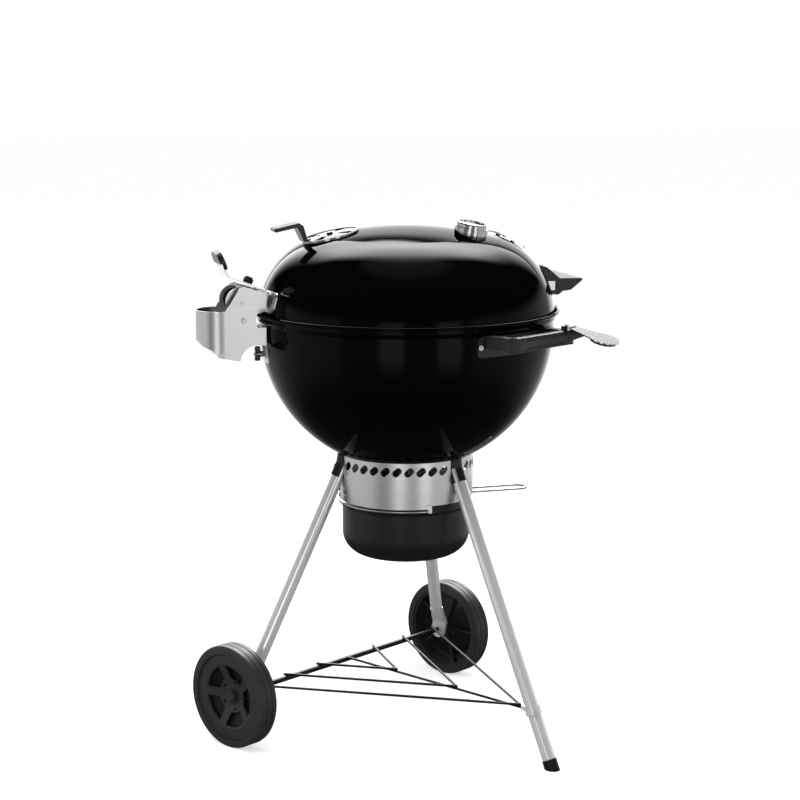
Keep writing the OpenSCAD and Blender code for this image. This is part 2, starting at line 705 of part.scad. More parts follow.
// A grip's own frame: X outward from the kettle, Y toward the lid's handle
module at_grip(side) {
  if (side < 0) turned(270 - grip_az) children();
  else mirror([1, 0, 0]) turned(270 - grip_az) children();
}
module grip(side) {
  out = grip_d + grip_t / 2;
  color("#2e2f31") {
    at_grip(side) difference() {
      intersection() {
        translate([0, 0, grip_z - grip_h / 2]) linear_extrude(grip_h) difference() {
          translate([out / 2, 0]) rounded(out, grip_len, 15);
          translate([(grip_d - grip_t / 2) / 2, 0]) rounded(grip_d - grip_t / 2, grip_len - 2 * arm_w, 12);
        }
        union() {
          translate([out - grip_t, grip_len / 2, grip_z]) rotate([90, 0, 0]) linear_extrude(grip_len)
            translate([grip_t / 2, 0]) rounded(grip_t, grip_h, 5);
          translate([0, -grip_len, grip_z - grip_h / 2 + 2]) cube([out - grip_t / 2, 2 * grip_len, grip_h - 4]);
        }
      }
      pot(0);
      for (z = [-7, 7]) translate([out + 1, 0, grip_z + z]) bar_y(-grip_len / 3, grip_len / 3, 1.8);
    }
    // Base plate on the bowl's wall
    at_grip(side) difference() {
      intersection() {
        pot(pad_t);
        translate([bowl_r / 2, 0, wall_top - pad_h / 2]) rotate([90, 0, 90]) linear_extrude(bowl_r)
          rounded(pad_w, pad_h, 8);
      }
      pot(0);
      for (s = [-1, 1]) grip_screw(s);
    }
  }
}
module grip_screw(s) {
  rotate([0, 0, asin(s * (pad_w / 2 - 6) / bowl_r)]) translate([0, 0, wall_top - pad_h / 2])
    bar_x(bowl_r - shell_t / 2, bowl_r + pad_t + 1, 3);
}
module handle_left() { grip(-1); }
module handle_right() { grip(1); }
module handle_screws() {
  color("#d3d4d6") for (side = [-1, 1], s = [-1, 1]) at_grip(side) difference() {
    union() {
      grip_screw(s);
      rotate([0, 0, asin(s * (pad_w / 2 - 6) / bowl_r)]) translate([0, 0, wall_top - pad_h / 2])
        bar_x(bowl_r + pad_t, bowl_r + pad_t + 2.5, 5);
    }
    pot(0);
  }
}
// Round plate on a strap at the left handle's front end, tilted outward
plate_y = grip_len / 2;
strap_y = grip_len / 2 - 14;
module on_plate() { at_grip(-1) translate([plate_x, plate_y, grip_z + 1]) rotate([0, plate_tilt, 0]) children(); }
module plate_bracket() {
  top = grip_z + grip_h / 2;
  strap_in = grip_d + 4;
  color("#c4c5c7") {
    on_plate() linear_extrude(strap_t) {
      circle(r = plate_r);
      polygon([[-plate_r * 0.3, plate_r * 0.9], [-plate_r * 0.3, -plate_r * 0.9],
        [(strap_in - plate_x) / cos(plate_tilt), strap_y - plate_y - 11],
        [(strap_in - plate_x) / cos(plate_tilt), strap_y - plate_y + 8]]);
    }
    at_grip(-1) translate([grip_d - 6, strap_y - 14, top]) cube([15, 25, grip_z + 2
      + (plate_x - strap_in) * tan(plate_tilt) + strap_t - top]);
    at_grip(-1) translate([grip_d - 2, strap_y - 3, top]) cylinder(r = 4, h = strap_t + 8);
    // Web under the strap, beside the handle
    at_grip(-1) translate([0, strap_y - 8, 0]) rotate([90, 0, 0]) linear_extrude(2)
      polygon([[grip_d + grip_t / 2 + 0.7, grip_z + 17.5], [grip_d + grip_t / 2 + 0.7, grip_z - 7],
        [grip_d + 46, grip_z + 7.3]]);
  }
}
module plate_backing() {
  color("#1d1e20") on_plate() translate([0, 0, -5]) cylinder(r1 = plate_r - 5, r2 = plate_r - 2, h = 5);
}

// ---- Hinge ----
hinge_z = rim_z + hinge_up;
pin_r = hinge_pin_d / 2;
cup_r = cup_w / 2;
cup_c = cup_reach - cup_r;
cup_top = rim_z + 13.5;
lug_x = release_w / 2 + 0.5;
lug_t = 2.5;
lug_r = 27;
cross_y = rim_r + 32;
cross_z = rim_z - 5;
curl_y = cup_c + 7;
curl_z = rim_z - 67;
back_y = bowl_r + 1;
tongue_w = 56;
tongue_z = [rim_z - 90, rim_z - 20];
nut_z = tongue_z[0] + 16;
bolt_z = rim_z - 36;
cup_h = hinge_z + 40 - tongue_z[0];
// The housing in plan: two cheeks joined by a round end, open toward the bowl
module cup_plan(wall) {
  r = cup_r - wall;
  translate([0, cup_c]) circle(r = r);
  translate([-r, bowl_r - 30]) square([2 * r, cup_c - bowl_r + 30]);
}
// The housing from the side, in Y and Z
module cup_side() {
  difference() {
    polygon([[back_y, rim_z - 52], [rim_r + 14, rim_z - 52], [rim_r + 14, rim_z - 80],
      [rim_r + 41, rim_z - 80], [curl_y, curl_z - 6], [cup_reach - 21, rim_z - 57.5], [cup_reach - 9, rim_z - 53],
      [cup_reach, rim_z - 41], [cup_reach, cup_top], [hinge_y + 31, cup_top],
      [hinge_y + 4, hinge_z + 26.5], [hinge_y - 4, hinge_z + 29], [hinge_y - 36, hinge_z + 19],
      [hinge_y - 47, hinge_z + 16], [hinge_y - 46, rim_z + 17], [rim_r + 5, rim_z + 17],
      [rim_r + 10, rim_z - 3], [rim_r + 7, rim_z - 18.5], [back_y, rim_z - 18.5]]);
    translate([rim_r + 8, rim_z - 83.5]) circle(r = 32.5);
  }
}
module hinge_housing() {
  color("#c9cacc") difference() {
    union() {
      difference() {
        intersection() {
          translate([0, 0, tongue_z[0]]) linear_extrude(cup_h) cup_plan(0);
          side_cut(-cup_r, cup_r) cup_side();
        }
        // Inside: open at the top, with a sloping floor
        difference() {
          translate([0, 0, tongue_z[0] - 1]) linear_extrude(cup_h + 2) cup_plan(steel_t);
          side_cut(-cup_r, cup_r) polygon([[rim_r + 41, rim_z - 90], [rim_r + 41, rim_z - 80 + steel_t],
            [curl_y, curl_z - 6 + steel_t], [cup_reach - 21, rim_z - 57.5 + steel_t],
            [cup_reach - 9, rim_z - 53 + steel_t], [cup_reach, rim_z - 41 + steel_t], [cup_reach, rim_z - 90]]);
        }
        pot(0);
      }
      // Back plate between the cheeks, and a tongue that follows the bowl's wall
      difference() {
        translate([-cup_r, back_y, rim_z - 51]) cube([2 * cup_r, steel_t, 29]);
        pot(0);
      }
      intersection() {
        difference() { pot(steel_t); pot(0); }
        translate([0, bowl_r + 20, (tongue_z[0] + tongue_z[1]) / 2]) rotate([90, 0, 0]) linear_extrude(80)
          rounded(tongue_w, tongue_z[1] - tongue_z[0], 3);
      }
      translate([0, curl_y, curl_z]) bar_x(-cup_r + 2, cup_r - 2, 6);
    }
    translate([0, hinge_y, hinge_z]) bar_x(-cup_r - 1, cup_r + 1, pin_r);
    translate([0, cross_y, cross_z]) bar_x(-cup_r - 1, cup_r + 1, bolt_r);
    translate([0, curl_y, curl_z]) bar_x(-cup_r - 1, cup_r + 1, bolt_r + 0.5);
    for (b = [[-16, bolt_z], [16, bolt_z], [0, nut_z]]) back_bolt(b[0], b[1], -6, 12);
  }
}
// A bolt through the housing's back, between two distances from the bowl's face
module back_bolt(x, z, y0, y1, r = bolt_r) { translate([x, bowl_at(z), z]) bar_y(y0, y1, r); }
module hinge_bolts() {
  color("#b9babc") {
    for (x = [-16, 16]) {
      difference() { back_bolt(x, bolt_z, -6, back_y - bowl_at(bolt_z) + steel_t + 1); pot(0); }
      translate([x, back_y + steel_t, bolt_z]) bar_y(0, 3, 5);
    }
    for (s = [0, 1]) mirror([s, 0, 0]) translate([0, cross_y, cross_z]) {
      bar_x(cup_r - steel_t - 3, cup_r + 1, bolt_r);
      bar_x(cup_r, cup_r + 2.5, 5.5);
      bar_x(cup_r - steel_t - 3, cup_r - steel_t, 5);
    }
    translate([0, curl_y, curl_z]) {
      bar_x(-cup_r - 1, cup_r + 1, bolt_r + 0.5);
      for (s = [0, 1]) mirror([s, 0, 0]) bar_x(cup_r, cup_r + 2.5, 5);
    }
  }
}
module wing_nut() {
  color("#cfd0d2") {
    difference() { back_bolt(0, nut_z, -2, steel_t + 18); pot(0); }
    difference() { back_bolt(0, nut_z, 0, steel_t + 9, 5.5); pot(steel_t); }
    rotate([0, 0, 90]) translate([bowl_at(nut_z) + steel_t + 5, 0, nut_z])
        for (s = [-1, 1]) rotate([s * 25, 0, 0]) translate([0, -1.2, s > 0 ? 0 : -15])
          intersection() {
            translate([-1, 0, 0]) cube([11, 2.4, 15]);
            translate([4, 3, s > 0 ? 7 : 8]) rotate([90, 0, 0]) cylinder(r = 8.5, h = 6);
          }
  }
}
module hinge_pin() {
  color("#b9babc") translate([0, hinge_y, hinge_z]) bar_x(-cup_r, cup_r, pin_r);
}
// A bobbin on the pin carries the coil spring between the lid's lugs
bobbin_w = 2 * (lug_x - seat);
coil_r = 2.6;
module hinge_block() {
  color("#5d5e61") translate([0, hinge_y, hinge_z]) difference() {
    union() {
      bar_x(-bobbin_w / 2, bobbin_w / 2, pin_r + 5);
      for (x = [-bobbin_w / 2, bobbin_w / 2 - 3]) bar_x(x, x + 3, 20);
    }
    bar_x(-bobbin_w, bobbin_w, pin_r + run_gap);
  }
}
module hinge_springs() {
  turns = floor((bobbin_w - 8) / (2 * coil_r - 0.2));
  color("#9c9da0") translate([0, hinge_y, hinge_z]) rotate([0, 90, 0])
    for (i = [0:turns - 1]) translate([0, 0, (i - (turns - 1) / 2) * (2 * coil_r - 0.2)])
      ring(pin_r + 5 + coil_r, coil_r);
}
// The lid's side of the hinge: a patch on the lid, two lugs round the pin, and a web over them
patch_z = [rim_z + 9.5, rim_z + 46.5];
patch_w = 134;
lever_y = hinge_y - 46;
lever_z = hinge_z + 17;
lever_r = 4;
lever_pin_r = 2;
module lid_bracket() {
  color("#c9cacc") {
    difference() {
      union() {
        intersection() {
          difference() { lid_form(steel_t); lid_form(0); }
          translate([0, lid_r + 20, (patch_z[0] + patch_z[1]) / 2]) rotate([90, 0, 0]) linear_extrude(80)
            rounded(patch_w, patch_z[1] - patch_z[0], 9);
        }
        for (s = [-1, 1]) side_cut(s * (lug_x + lug_t / 2) - lug_t / 2, s * (lug_x + lug_t / 2) + lug_t / 2)
          lug_line();
        side_cut(-lug_x, lug_x) intersection() {
          lug_line();
          polygon([[lid_r - 20, hinge_z + 3.5], [hinge_y - 2, hinge_z + 25], [hinge_y - 2, hinge_z + 22.5],
            [lid_r - 20, hinge_z + 1]]);
        }
        // Ears for the release lever's pin
        for (s = [-1, 1]) side_cut(s * (release_w / 2 + 2.5) - 2, s * (release_w / 2 + 2.5) + 2) {
          translate([lever_y, lever_z]) circle(r = 5);
          polygon([[lever_y - 5, lever_z], [lever_y + 5, lever_z], [lever_y + 9, hinge_z + 8.5],
            [lever_y - 9, hinge_z + 5.5]]);
        }
      }
      lid_form(0);
      translate([0, hinge_y, hinge_z]) bar_x(-cup_r, cup_r, pin_r + run_gap);
      translate([0, lever_y, lever_z]) bar_x(-cup_r, cup_r, lever_pin_r);
    }
  }
}
module lug_line() {
  translate([hinge_y, hinge_z]) circle(r = lug_r);
  polygon([[lid_r - 20, patch_z[0] + 4], [hinge_y - 30, patch_z[0] - 4], [hinge_y, hinge_z],
    [hinge_y, hinge_z + lug_r - 1], [lid_r - 20, hinge_z + 8.5]]);
}
// Release lever on the lid's bracket, with a pad to push and a knob
lever_slope = 21.9;
lever_len = 74;
module on_lever() { translate([0, lever_y, lever_z]) rotate([lever_slope, 0, 0]) children(); }
pad_len = 34;
pad_rise = 68;
pad_y = 12 + pad_len / 2;
// The paddle at the lever's end, z = 0 inside its sheet
module on_paddle() {
  on_lever() translate([0, lever_len - 0.5, lever_r - 1.5]) rotate([pad_rise - lever_slope, 0, 0]) children();
}
module paddle() {
  translate([0.3 - release_w / 2, 0, -1]) cube([release_w - 0.6, 14, 2.5]);
  translate([0, pad_y, -1]) linear_extrude(2.5) rounded(release_w, pad_len, pad_len / 2 - 0.5);
}
module release_lever() {
  color("#c9cacc") difference() {
    union() {
      on_lever() bar_x(-release_w / 2, release_w / 2, lever_r);
      on_lever() translate([-release_w / 2, 0, lever_r - 2.5]) cube([release_w, lever_len, 2.5]);
      on_paddle() paddle();
    }
    on_lever() bar_x(-release_w, release_w, lever_pin_r + run_gap);
  }
}
module release_pin() {
  color("#b9babc") translate([0, lever_y, lever_z]) bar_x(-release_w / 2 - 5.5, release_w / 2 + 5.5, lever_pin_r);
}
module release_pad() {
  // The grip is moulded over the paddle and leaves its lower back bare
  color("#1d1e20") on_paddle() difference() {
    translate([0, pad_y, -4.5]) linear_extrude(10.5) rounded(release_w + 4, pad_len + 4, pad_len / 2 + 1.5);
    paddle();
    translate([-release_w, 0, -6]) cube([2 * release_w, 26, 5]);
  }
}
module release_knob() {
  color("#1d1e20") on_lever() translate([0, 29, lever_r]) {
    cylinder(r = 9.5, h = 9, $fn = 10);
    cylinder(r = 7, h = 12);
  }
}

// ---- Lid ----
gauge_az = 228;
gauge_d = 132;
probe_r = 3;
plate_n = 200;
module lid() {
  color("#17181a") difference() {
    rotate_extrude($fn = 192) {
      difference() { dome(0); dome(-shell_t); }
      difference() {
        translate([hem_x, hem_z]) circle(r = lid_hem_r, $fn = 32);
        translate([hem_x, hem_z]) circle(r = lid_hem_r - 1, $fn = 32);
      }
    }
    for (s = [-1, 1]) wing_screw(s, 2);
    on_crown(gauge_az, gauge_d) translate([0, 0, -10]) cylinder(r = probe_r + 1, h = 20);
    on_crown(90, damper_y) translate([0, 0, -10]) {
      cylinder(r = rivet_r, h = 20);
      vent_holes(0);
    }
  }
}
rivet_r = 3;
vent_hole_a = 24;
damper_t = 2;
damper_turn = 45;
module vent_holes(extra) {
  for (i = [0:vents - 1]) turned(i * 90 + damper_turn) intersection() {
    difference() {
      cylinder(r = damper_r - 10 + extra, h = 30);
      translate([0, 0, -1]) cylinder(r = 20 - extra, h = 32);
    }
    wedge(-vent_hole_a / 2 - extra, vent_hole_a / 2 + extra, damper_r, 30);
  }
}
// The damper is domed like the crown and turns on a rivet
module crown_skin(z0, z1) {
  translate([0, 0, -lid_crown_r]) difference() {
    sphere(r = lid_crown_r + z1, $fn = 192);
    sphere(r = lid_crown_r + z0, $fn = 192);
  }
}
module lid_damper() {
  color("#b3b4b7") on_crown(90, damper_y) difference() {
    union() {
      intersection() {
        crown_skin(seat, seat + damper_t);
        translate([0, 0, -12]) cylinder(r = damper_r, h = 20);
      }
      intersection() {
        crown_skin(seat, seat + damper_t + 1.5);
        translate([0, 0, -12]) tube(damper_r, 4, 20);
      }
    }
    translate([0, 0, -5]) cylinder(r = rivet_r + run_gap, h = 20);
    translate([0, 0, -10]) vent_holes(0);
  }
}
module damper_rivet() {
  color("#d0d1d3") on_crown(90, damper_y) {
    translate([0, 0, -shell_t - 1.5]) cylinder(r = rivet_r, h = shell_t + 1.5 + seat + damper_t + seat + 1);
    translate([0, 0, seat + damper_t + seat]) cylinder(r1 = 7, r2 = 5.5, h = 3);
    translate([0, 0, -shell_t - 2.5]) cylinder(r = 6, h = 2);
  }
}
module damper_tab() {
  z = seat + damper_t + 1.3;
  color("#1d1e20") on_crown(90, damper_y) intersection() {
    translate([0, tab_w / 2, 0]) rotate([90, 0, 0]) linear_extrude(tab_w) {
      polygon([[damper_r - 8, z - 2.5], [damper_r - 1, z - 3], [damper_r + 6, 31], [damper_r + 47, 32],
        [damper_r + 48, 39], [damper_r + 1, 38.5], [damper_r - 6, 31]]);
      translate([damper_r + 46, 35.5]) circle(r = 3.8, $fn = 32);
      translate([damper_r - 14, z - 2.2]) square([12, 3.2]);
    }
    translate([damper_r + 12, 0, -5]) linear_extrude(60) rounded(80, tab_w - 0.4, 9);
    difference() {
      translate([damper_r + 20, 0, 0]) cube([160, 60, 120], center = true);
      translate([0, 0, -lid_crown_r]) sphere(r = lid_crown_r + seat + damper_t + 1.5, $fn = 192);
    }
  }
}

// Lid handle: a wing from the shoulder, closed by an end plate on each side
wing_w = lid_grip_len;
wing_end = 6;
wing_z = rim_z + 55.5;
module wing_line() {
  polygon([[-lid_r + 60, wing_z + 34], [-lid_r + 26, wing_z + 24], [-lid_r - 1, wing_z + 2],
    [-lid_grip_reach + 3, wing_z + 1], [-lid_grip_reach, wing_z - 1], [-lid_grip_reach + 2, wing_z - 4],
    [-lid_r - 24, wing_z - 21], [-lid_r - 7, wing_z - 23], [-lid_r + 2, wing_z - 30],
    [-lid_r + 60, wing_z - 22]]);
}
module wing_gap() {
  polygon([[-lid_r + 60, wing_z + 22], [-lid_r + 27, wing_z + 14], [-lid_r + 2, wing_z - 3.5],
    [-lid_r - 16, wing_z - 4], [-lid_r - 19, wing_z - 12], [-lid_r - 18, wing_z - 40],
    [-lid_r + 60, wing_z - 40]]);
}
module lid_handle() {
  color("#2e2f31") difference() {
    side_cut(-wing_w / 2, wing_w / 2) wing_line();
    side_cut(wing_end - wing_w / 2, wing_w / 2 - wing_end) wing_gap();
    side_cut(-wing_w, wing_w) translate([-lid_r + 15.5, wing_z - 12.5]) square([23, 19], center = true);
    lid_form(0);
    for (s = [-1, 1]) wing_screw(s, 2);
  }
}
module wing_screw(s, r) {
  translate([s * (wing_w / 2 - 16), -lid_r + 33, wing_z + 20]) rotate([40, 0, 0])
    translate([0, 0, -6]) cylinder(r = r, h = 13);
}
module lid_heat_shield() {
  x = wing_w / 2 - wing_end - 1.5;
  color("#d0d1d3") difference() {
    union() {
      side_cut(-x, x) translate([-lid_r - 5.2, wing_z - 25]) square([1.2, 21]);
      for (s = [-1, 1]) side_cut(s * (x + 0.6) - 0.6, s * (x + 0.6) + 0.6) translate([-lid_r - 5.2, wing_z - 25])
        square([60, 21]);
    }
    lid_form(0);
  }
}
module lid_handle_screws() {
  color("#b9babc") for (s = [-1, 1]) difference() {
    wing_screw(s, 2);
    lid_form(-shell_t);
  }
}

// Thermometer
glass_z = gauge_h - 5;
module thermometer_case() {
  color("#cfd0d2") difference() {
    on_crown(gauge_az, gauge_d) rotate_extrude() difference() {
      union() {
        translate([0, -2]) square([gauge_r, gauge_h * 0.55 + 2]);
        translate([0, gauge_h * 0.5]) square([gauge_r - 3, gauge_h * 0.5 - 3]);
        translate([gauge_r - 6, gauge_h - 3]) circle(r = 3, $fn = 32);
        translate([0, gauge_h - 4]) square([gauge_r - 6, 4]);
      }
      translate([0, glass_z - 4]) square([gauge_r - 8, 20]);
      translate([0, -3]) square([probe_r, 40]);
    }
    lid_form(0);
  }
}
module thermometer_dial() {
  color("#e9e9e6") on_crown(gauge_az, gauge_d) translate([0, 0, glass_z - 4]) difference() {
    cylinder(r = gauge_r - 8, h = 1);
    translate([0, 0, -1]) cylinder(r = 1.6, h = 3);
  }
}
module thermometer_lens() {
  color([0.85, 0.88, 0.9, 0.35]) on_crown(gauge_az, gauge_d) translate([0, 0, glass_z + 1])
    cylinder(r = gauge_r - 8, h = 1.5);
}
module thermometer_probe() {
  color("#b9babc") on_crown(gauge_az, gauge_d) difference() {
    union() {
      translate([0, 0, -probe_len]) cylinder(r = probe_r, h = probe_len + glass_z - 5);
      translate([0, 0, -shell_t - 4.5]) cylinder(r = 7, h = 4, $fn = 6);
      translate([0, 0, glass_z - 5.5]) cylinder(r = 1.5, h = 3);
    }
  }
}
module thermometer_needle() {
  color("#b1302a") on_crown(gauge_az, gauge_d) turned(needle_rest) translate([0, 0, glass_z - 2.2]) difference() {
    union() {
      cylinder(r = 3, h = 1.6);
      translate([-6, -0.8, 0.4]) cube([gauge_r - 6, 1.6, 0.8]);
    }
    translate([0, 0, -1]) cylinder(r = 1.5 + run_gap, h = 4);
  }
}
needle_rest = 200;
module plate_prism(w, h) {
  translate([0, -plate_n, lid_base]) linear_extrude(lid_crown_r) rounded(w, h, 5);
}
module front_plate() {
  color("#c4c5c7") intersection() {
    difference() { lid_form(5.5); lid_form(2.5); }
    plate_prism(front_plate_w, front_plate_h);
  }
}
module plate_spacers() {
  color("#8c8d90") for (s = [-1, 1]) difference() {
    intersection() {
      lid_form(2.5);
      translate([s * front_plate_w * 0.4, -plate_n, lid_base]) cylinder(r = 4, h = lid_crown_r);
    }
    lid_form(0);
  }
}

// ---- Grates ----
wire_r = grate_wire_d / 2;
grate_z = rim_z - grate_drop;
flap_in = flap_x + 9;
bar_pitch = 2 * (grate_r - 4 * wire_r) / (grate_bars + 1);
stay_x = grate_r * 0.22;
stay_e = sqrt(pow(grate_r - 2 * wire_r, 2) - stay_x * stay_x);
module cooking_grate() {
  e = sqrt(pow(grate_r - wire_r, 2) - flap_x * flap_x);
  color("#c9cacc") translate([0, 0, grate_z]) {
    intersection() {
      ring(grate_r - wire_r, wire_r);
      cube([2 * flap_x, 3 * grate_r, 20], center = true);
    }
    for (i = [0:grate_bars - 1]) let (y = (i - (grate_bars - 1) / 2) * bar_pitch,
      x = min(flap_x, sqrt(pow(grate_r - wire_r, 2) - y * y))) translate([0, y, 0]) bar_x(-x, x, wire_r);
    for (s = [-1, 1]) translate([s * flap_x, 0, 0]) bar_y(-e, e, wire_r);
    for (s = [-1, 1]) translate([s * stay_x, 0, -2 * wire_r + weld]) bar_y(-stay_e, stay_e, wire_r);
  }
}
module flap(s) {
  r = grate_r - wire_r;
  e = sqrt(r * r - flap_in * flap_in);
  color("#c9cacc") mirror([s < 0 ? 1 : 0, 0, 0]) translate([0, 0, grate_z]) {
    intersection() {
      ring(r, wire_r);
      translate([flap_in, -r - 10, -10]) cube([r, 2 * r + 20, 20]);
    }
    translate([flap_in, 0, 0]) bar_y(-e, e, wire_r);
    for (i = [0:grate_bars - 1]) let (y = (i - (grate_bars - 1) / 2) * bar_pitch, q = r * r - y * y)
      if (q > pow(flap_in, 2)) translate([0, y, 0]) bar_x(flap_in, sqrt(q), wire_r);
    for (y = [-8.5, -0.5, 7.5] * bar_pitch) translate([flap_x, y, 0]) difference() {
      union() {
        bar_y(-2.5, 2.5, wire_r + run_gap + 2.5);
        translate([wire_r, -2.5, -2]) cube([flap_in - flap_x - wire_r, 5, 4]);
      }
      bar_y(-5, 5, wire_r + run_gap);
    }
  }
}
module flap_left() { flap(-1); }
module flap_right() { flap(1); }
ledge_z = grate_z - wire_r;
module grate_ledges() {
  color("#2b2c2e") for (a = [45, 135, 225, 315]) difference() {
    turned(a) translate([grate_r - 14, -12, ledge_z - 3]) {
      cube([40, 24, 3]);
      translate([12, 8, -14]) cube([40, 8, 15]);
    }
    difference() {
      translate([0, 0, ledge_z - bowl_r / 2]) cylinder(r = 2 * bowl_r, h = bowl_r);
      orb(-shell_t);
    }
  }
}
coal_w = 3;
coal_z = bowl_c - sqrt(pow(bowl_r - shell_t - coal_w - seat, 2) - pow(coal_r - coal_w, 2));
module charcoal_grate() {
  r = coal_r - coal_w;
  pitch = 2 * (r - 3 * coal_w) / (coal_bars + 1);
  color("#6f7073") translate([0, 0, coal_z]) {
    ring(r, coal_w);
    for (i = [0:coal_bars - 1]) let (x = (i - (coal_bars - 1) / 2) * pitch, e = sqrt(r * r - x * x))
      translate([x, 0, 0]) bar_y(-e, e, coal_w);
    for (s = [-1, 1]) let (y = r / 3, e = sqrt(pow(r - 8, 2) - y * y)) translate([0, s * y, -2 * coal_w + weld])
      bar_x(-e, e, coal_w);
  }
}

bowl();
grate_ledges();
leg_sockets();
socket_bolts();
leg_left();
leg_right();
leg_rear();
foot_cap();
axle();
bottom_rack();
rack_clip();
ash_ring();
ring_rivets();
pan_hanger();
handle_left();
handle_right();
handle_screws();
plate_bracket();
plate_backing();
hinge_housing();
hinge_pin();
hinge_springs();
hinge_block();
hinge_bolts();
wing_nut();
charcoal_grate();
cooking_grate();
flap_left();
flap_right();
lid();
lid_bracket();
lid_handle();
lid_heat_shield();
lid_handle_screws();
thermometer_case();
thermometer_dial();
thermometer_lens();
thermometer_probe();
thermometer_needle();
front_plate();
plate_spacers();
damper_rivet();
lid_damper();
damper_tab();
release_lever();
release_pin();
release_pad();
release_knob();
wheel_rear();
wheel_right();
tyre_rear();
tyre_right();
axle_cap_rear();
axle_cap_right();
sweep_blades();
cleaning_lever();
ash_pan();
pan_handle();
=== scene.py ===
"""Looks of a kettle charcoal grill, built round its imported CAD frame."""

import json
import math

import bmesh
import bpy
from mathutils import Matrix, Vector


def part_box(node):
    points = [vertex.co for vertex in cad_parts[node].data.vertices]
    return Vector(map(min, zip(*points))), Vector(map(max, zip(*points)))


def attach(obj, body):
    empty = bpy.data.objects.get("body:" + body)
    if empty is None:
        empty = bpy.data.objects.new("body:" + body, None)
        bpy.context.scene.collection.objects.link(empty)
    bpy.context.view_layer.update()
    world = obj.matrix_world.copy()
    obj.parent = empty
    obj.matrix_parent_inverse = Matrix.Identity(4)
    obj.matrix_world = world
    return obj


bl_info = {
    "name": "Kettle Charcoal Grill",
    "version": (1, 0, 0),
    "blender": (4, 5, 0),
    "location": "View3D > Sidebar > Grill",
    "description": "Finishes and small parts of a kettle charcoal grill",
    "category": "Object",
}

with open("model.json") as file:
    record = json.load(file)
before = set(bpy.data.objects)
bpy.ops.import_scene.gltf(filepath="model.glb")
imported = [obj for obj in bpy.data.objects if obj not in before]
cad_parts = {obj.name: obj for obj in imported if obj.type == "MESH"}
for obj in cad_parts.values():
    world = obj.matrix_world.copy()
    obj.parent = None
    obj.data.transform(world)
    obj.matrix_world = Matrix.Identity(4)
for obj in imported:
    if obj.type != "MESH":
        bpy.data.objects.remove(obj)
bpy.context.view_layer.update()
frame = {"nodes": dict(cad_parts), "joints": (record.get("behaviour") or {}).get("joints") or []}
joints = {j["name"]: j for j in frame["joints"]}


# ---------------------------------------------------------------- helpers

def linear(hex_code):
    """Turns an sRGB hex value into linear colour."""
    channels = [int(hex_code[i:i + 2], 16) / 255 for i in (1, 3, 5)]
    return tuple(c / 12.92 if c <= 0.04045 else ((c + 0.055) / 1.055) ** 2.4 for c in channels)


def add(tree, kind, inputs=None, **settings):
    """Adds one node with its settings, its values and its links."""
    item = tree.nodes.new(kind)
    for key, value in settings.items():
        setattr(item, key, value)
    for key, value in (inputs or {}).items():
        if isinstance(value, bpy.types.NodeSocket):
            tree.links.new(value, item.inputs[key])
        else:
            item.inputs[key].default_value = value
    return item


def new_material(name):
    """Starts a material and gives its tree, its shader and its place on the piece in metres."""
    material = bpy.data.materials.new(name)
    material.use_nodes = True
    tree = material.node_tree
    place = add(tree, "ShaderNodeTexCoord").outputs["Object"]
    return material, tree, tree.nodes["Principled BSDF"], place


def paint(nodes, material):
    """Gives CAD nodes one material."""
    for name in nodes:
        mesh = frame["nodes"][name].data
        mesh.materials.clear()
        mesh.materials.append(material)


# Corners closer together than this are one corner, in metres
WELD = 1e-6


def piece(name, body, shape, material):
    """Turns a bmesh into a finished piece that rides on a body."""
    mesh = bpy.data.meshes.new(name)
    bmesh.ops.remove_doubles(shape, verts=shape.verts, dist=WELD)
    bmesh.ops.recalc_face_normals(shape, faces=shape.faces)
    shape.to_mesh(mesh)
    shape.free()
    made = bpy.data.objects.new(name, mesh)
    bpy.context.scene.collection.objects.link(made)
    mesh.materials.append(material)
    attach(made, body)


def swept_ring(section, sweep=math.tau, steps=64):
    """A section of (radius, height) corners turned about Z, as far to each side of X."""
    ring = bmesh.new()
    corners = [ring.verts.new((radius, 0, height)) for radius, height in section]
    sides = [ring.edges.new((corners[i - 1], corners[i])) for i in range(len(section))]
    bmesh.ops.rotate(ring, verts=corners, cent=(0, 0, 0),
                     matrix=Matrix.Rotation(-sweep / 2, 3, "Z"))
    bmesh.ops.spin(ring, geom=corners + sides, cent=(0, 0, 0), axis=(0, 0, 1),
                   angle=sweep, steps=steps)
    if sweep < math.tau:
        bmesh.ops.holes_fill(ring, edges=ring.edges, sides=len(section))
    return ring


def axis_place(point, direction):
    """A matrix that puts Z along a direction at a point."""
    turn = Vector(direction).normalized().to_track_quat("Z", "Y").to_matrix().to_4x4()
    return Matrix.Translation(Vector(point)) @ turn


# ---------------------------------------------------------------- sizes and colours

class GrillFinishes(bpy.types.PropertyGroup):
    """Colours of the grill's finishes."""

    enamel: bpy.props.FloatVectorProperty(
        name="Enamel", description="Porcelain enamel of the bowl and the lid",
        subtype="COLOR", size=3, min=0, max=1, default=linear("#030304"))
    nylon: bpy.props.FloatVectorProperty(
        name="Nylon", description="Moulded handles, sockets and caps",
        subtype="COLOR", size=3, min=0, max=1, default=linear("#101113"))
    wheel: bpy.props.FloatVectorProperty(
        name="Wheels", description="Moulded wheels and tyres",
        subtype="COLOR", size=3, min=0, max=1, default=linear("#292a2c"))
    stainless: bpy.props.FloatVectorProperty(
        name="Stainless steel", description="Ring, hinge housing, brackets and plates",
        subtype="COLOR", size=3, min=0, max=1, default=linear("#d2d3d5"))
    plating: bpy.props.FloatVectorProperty(
        name="Plated tube", description="Legs and the rack's clip",
        subtype="COLOR", size=3, min=0, max=1, default=linear("#eaebed"))
    pan: bpy.props.FloatVectorProperty(
        name="Pan coating", description="Satin coating of the ash pan",
        subtype="COLOR", size=3, min=0, max=1, default=linear("#151618"))


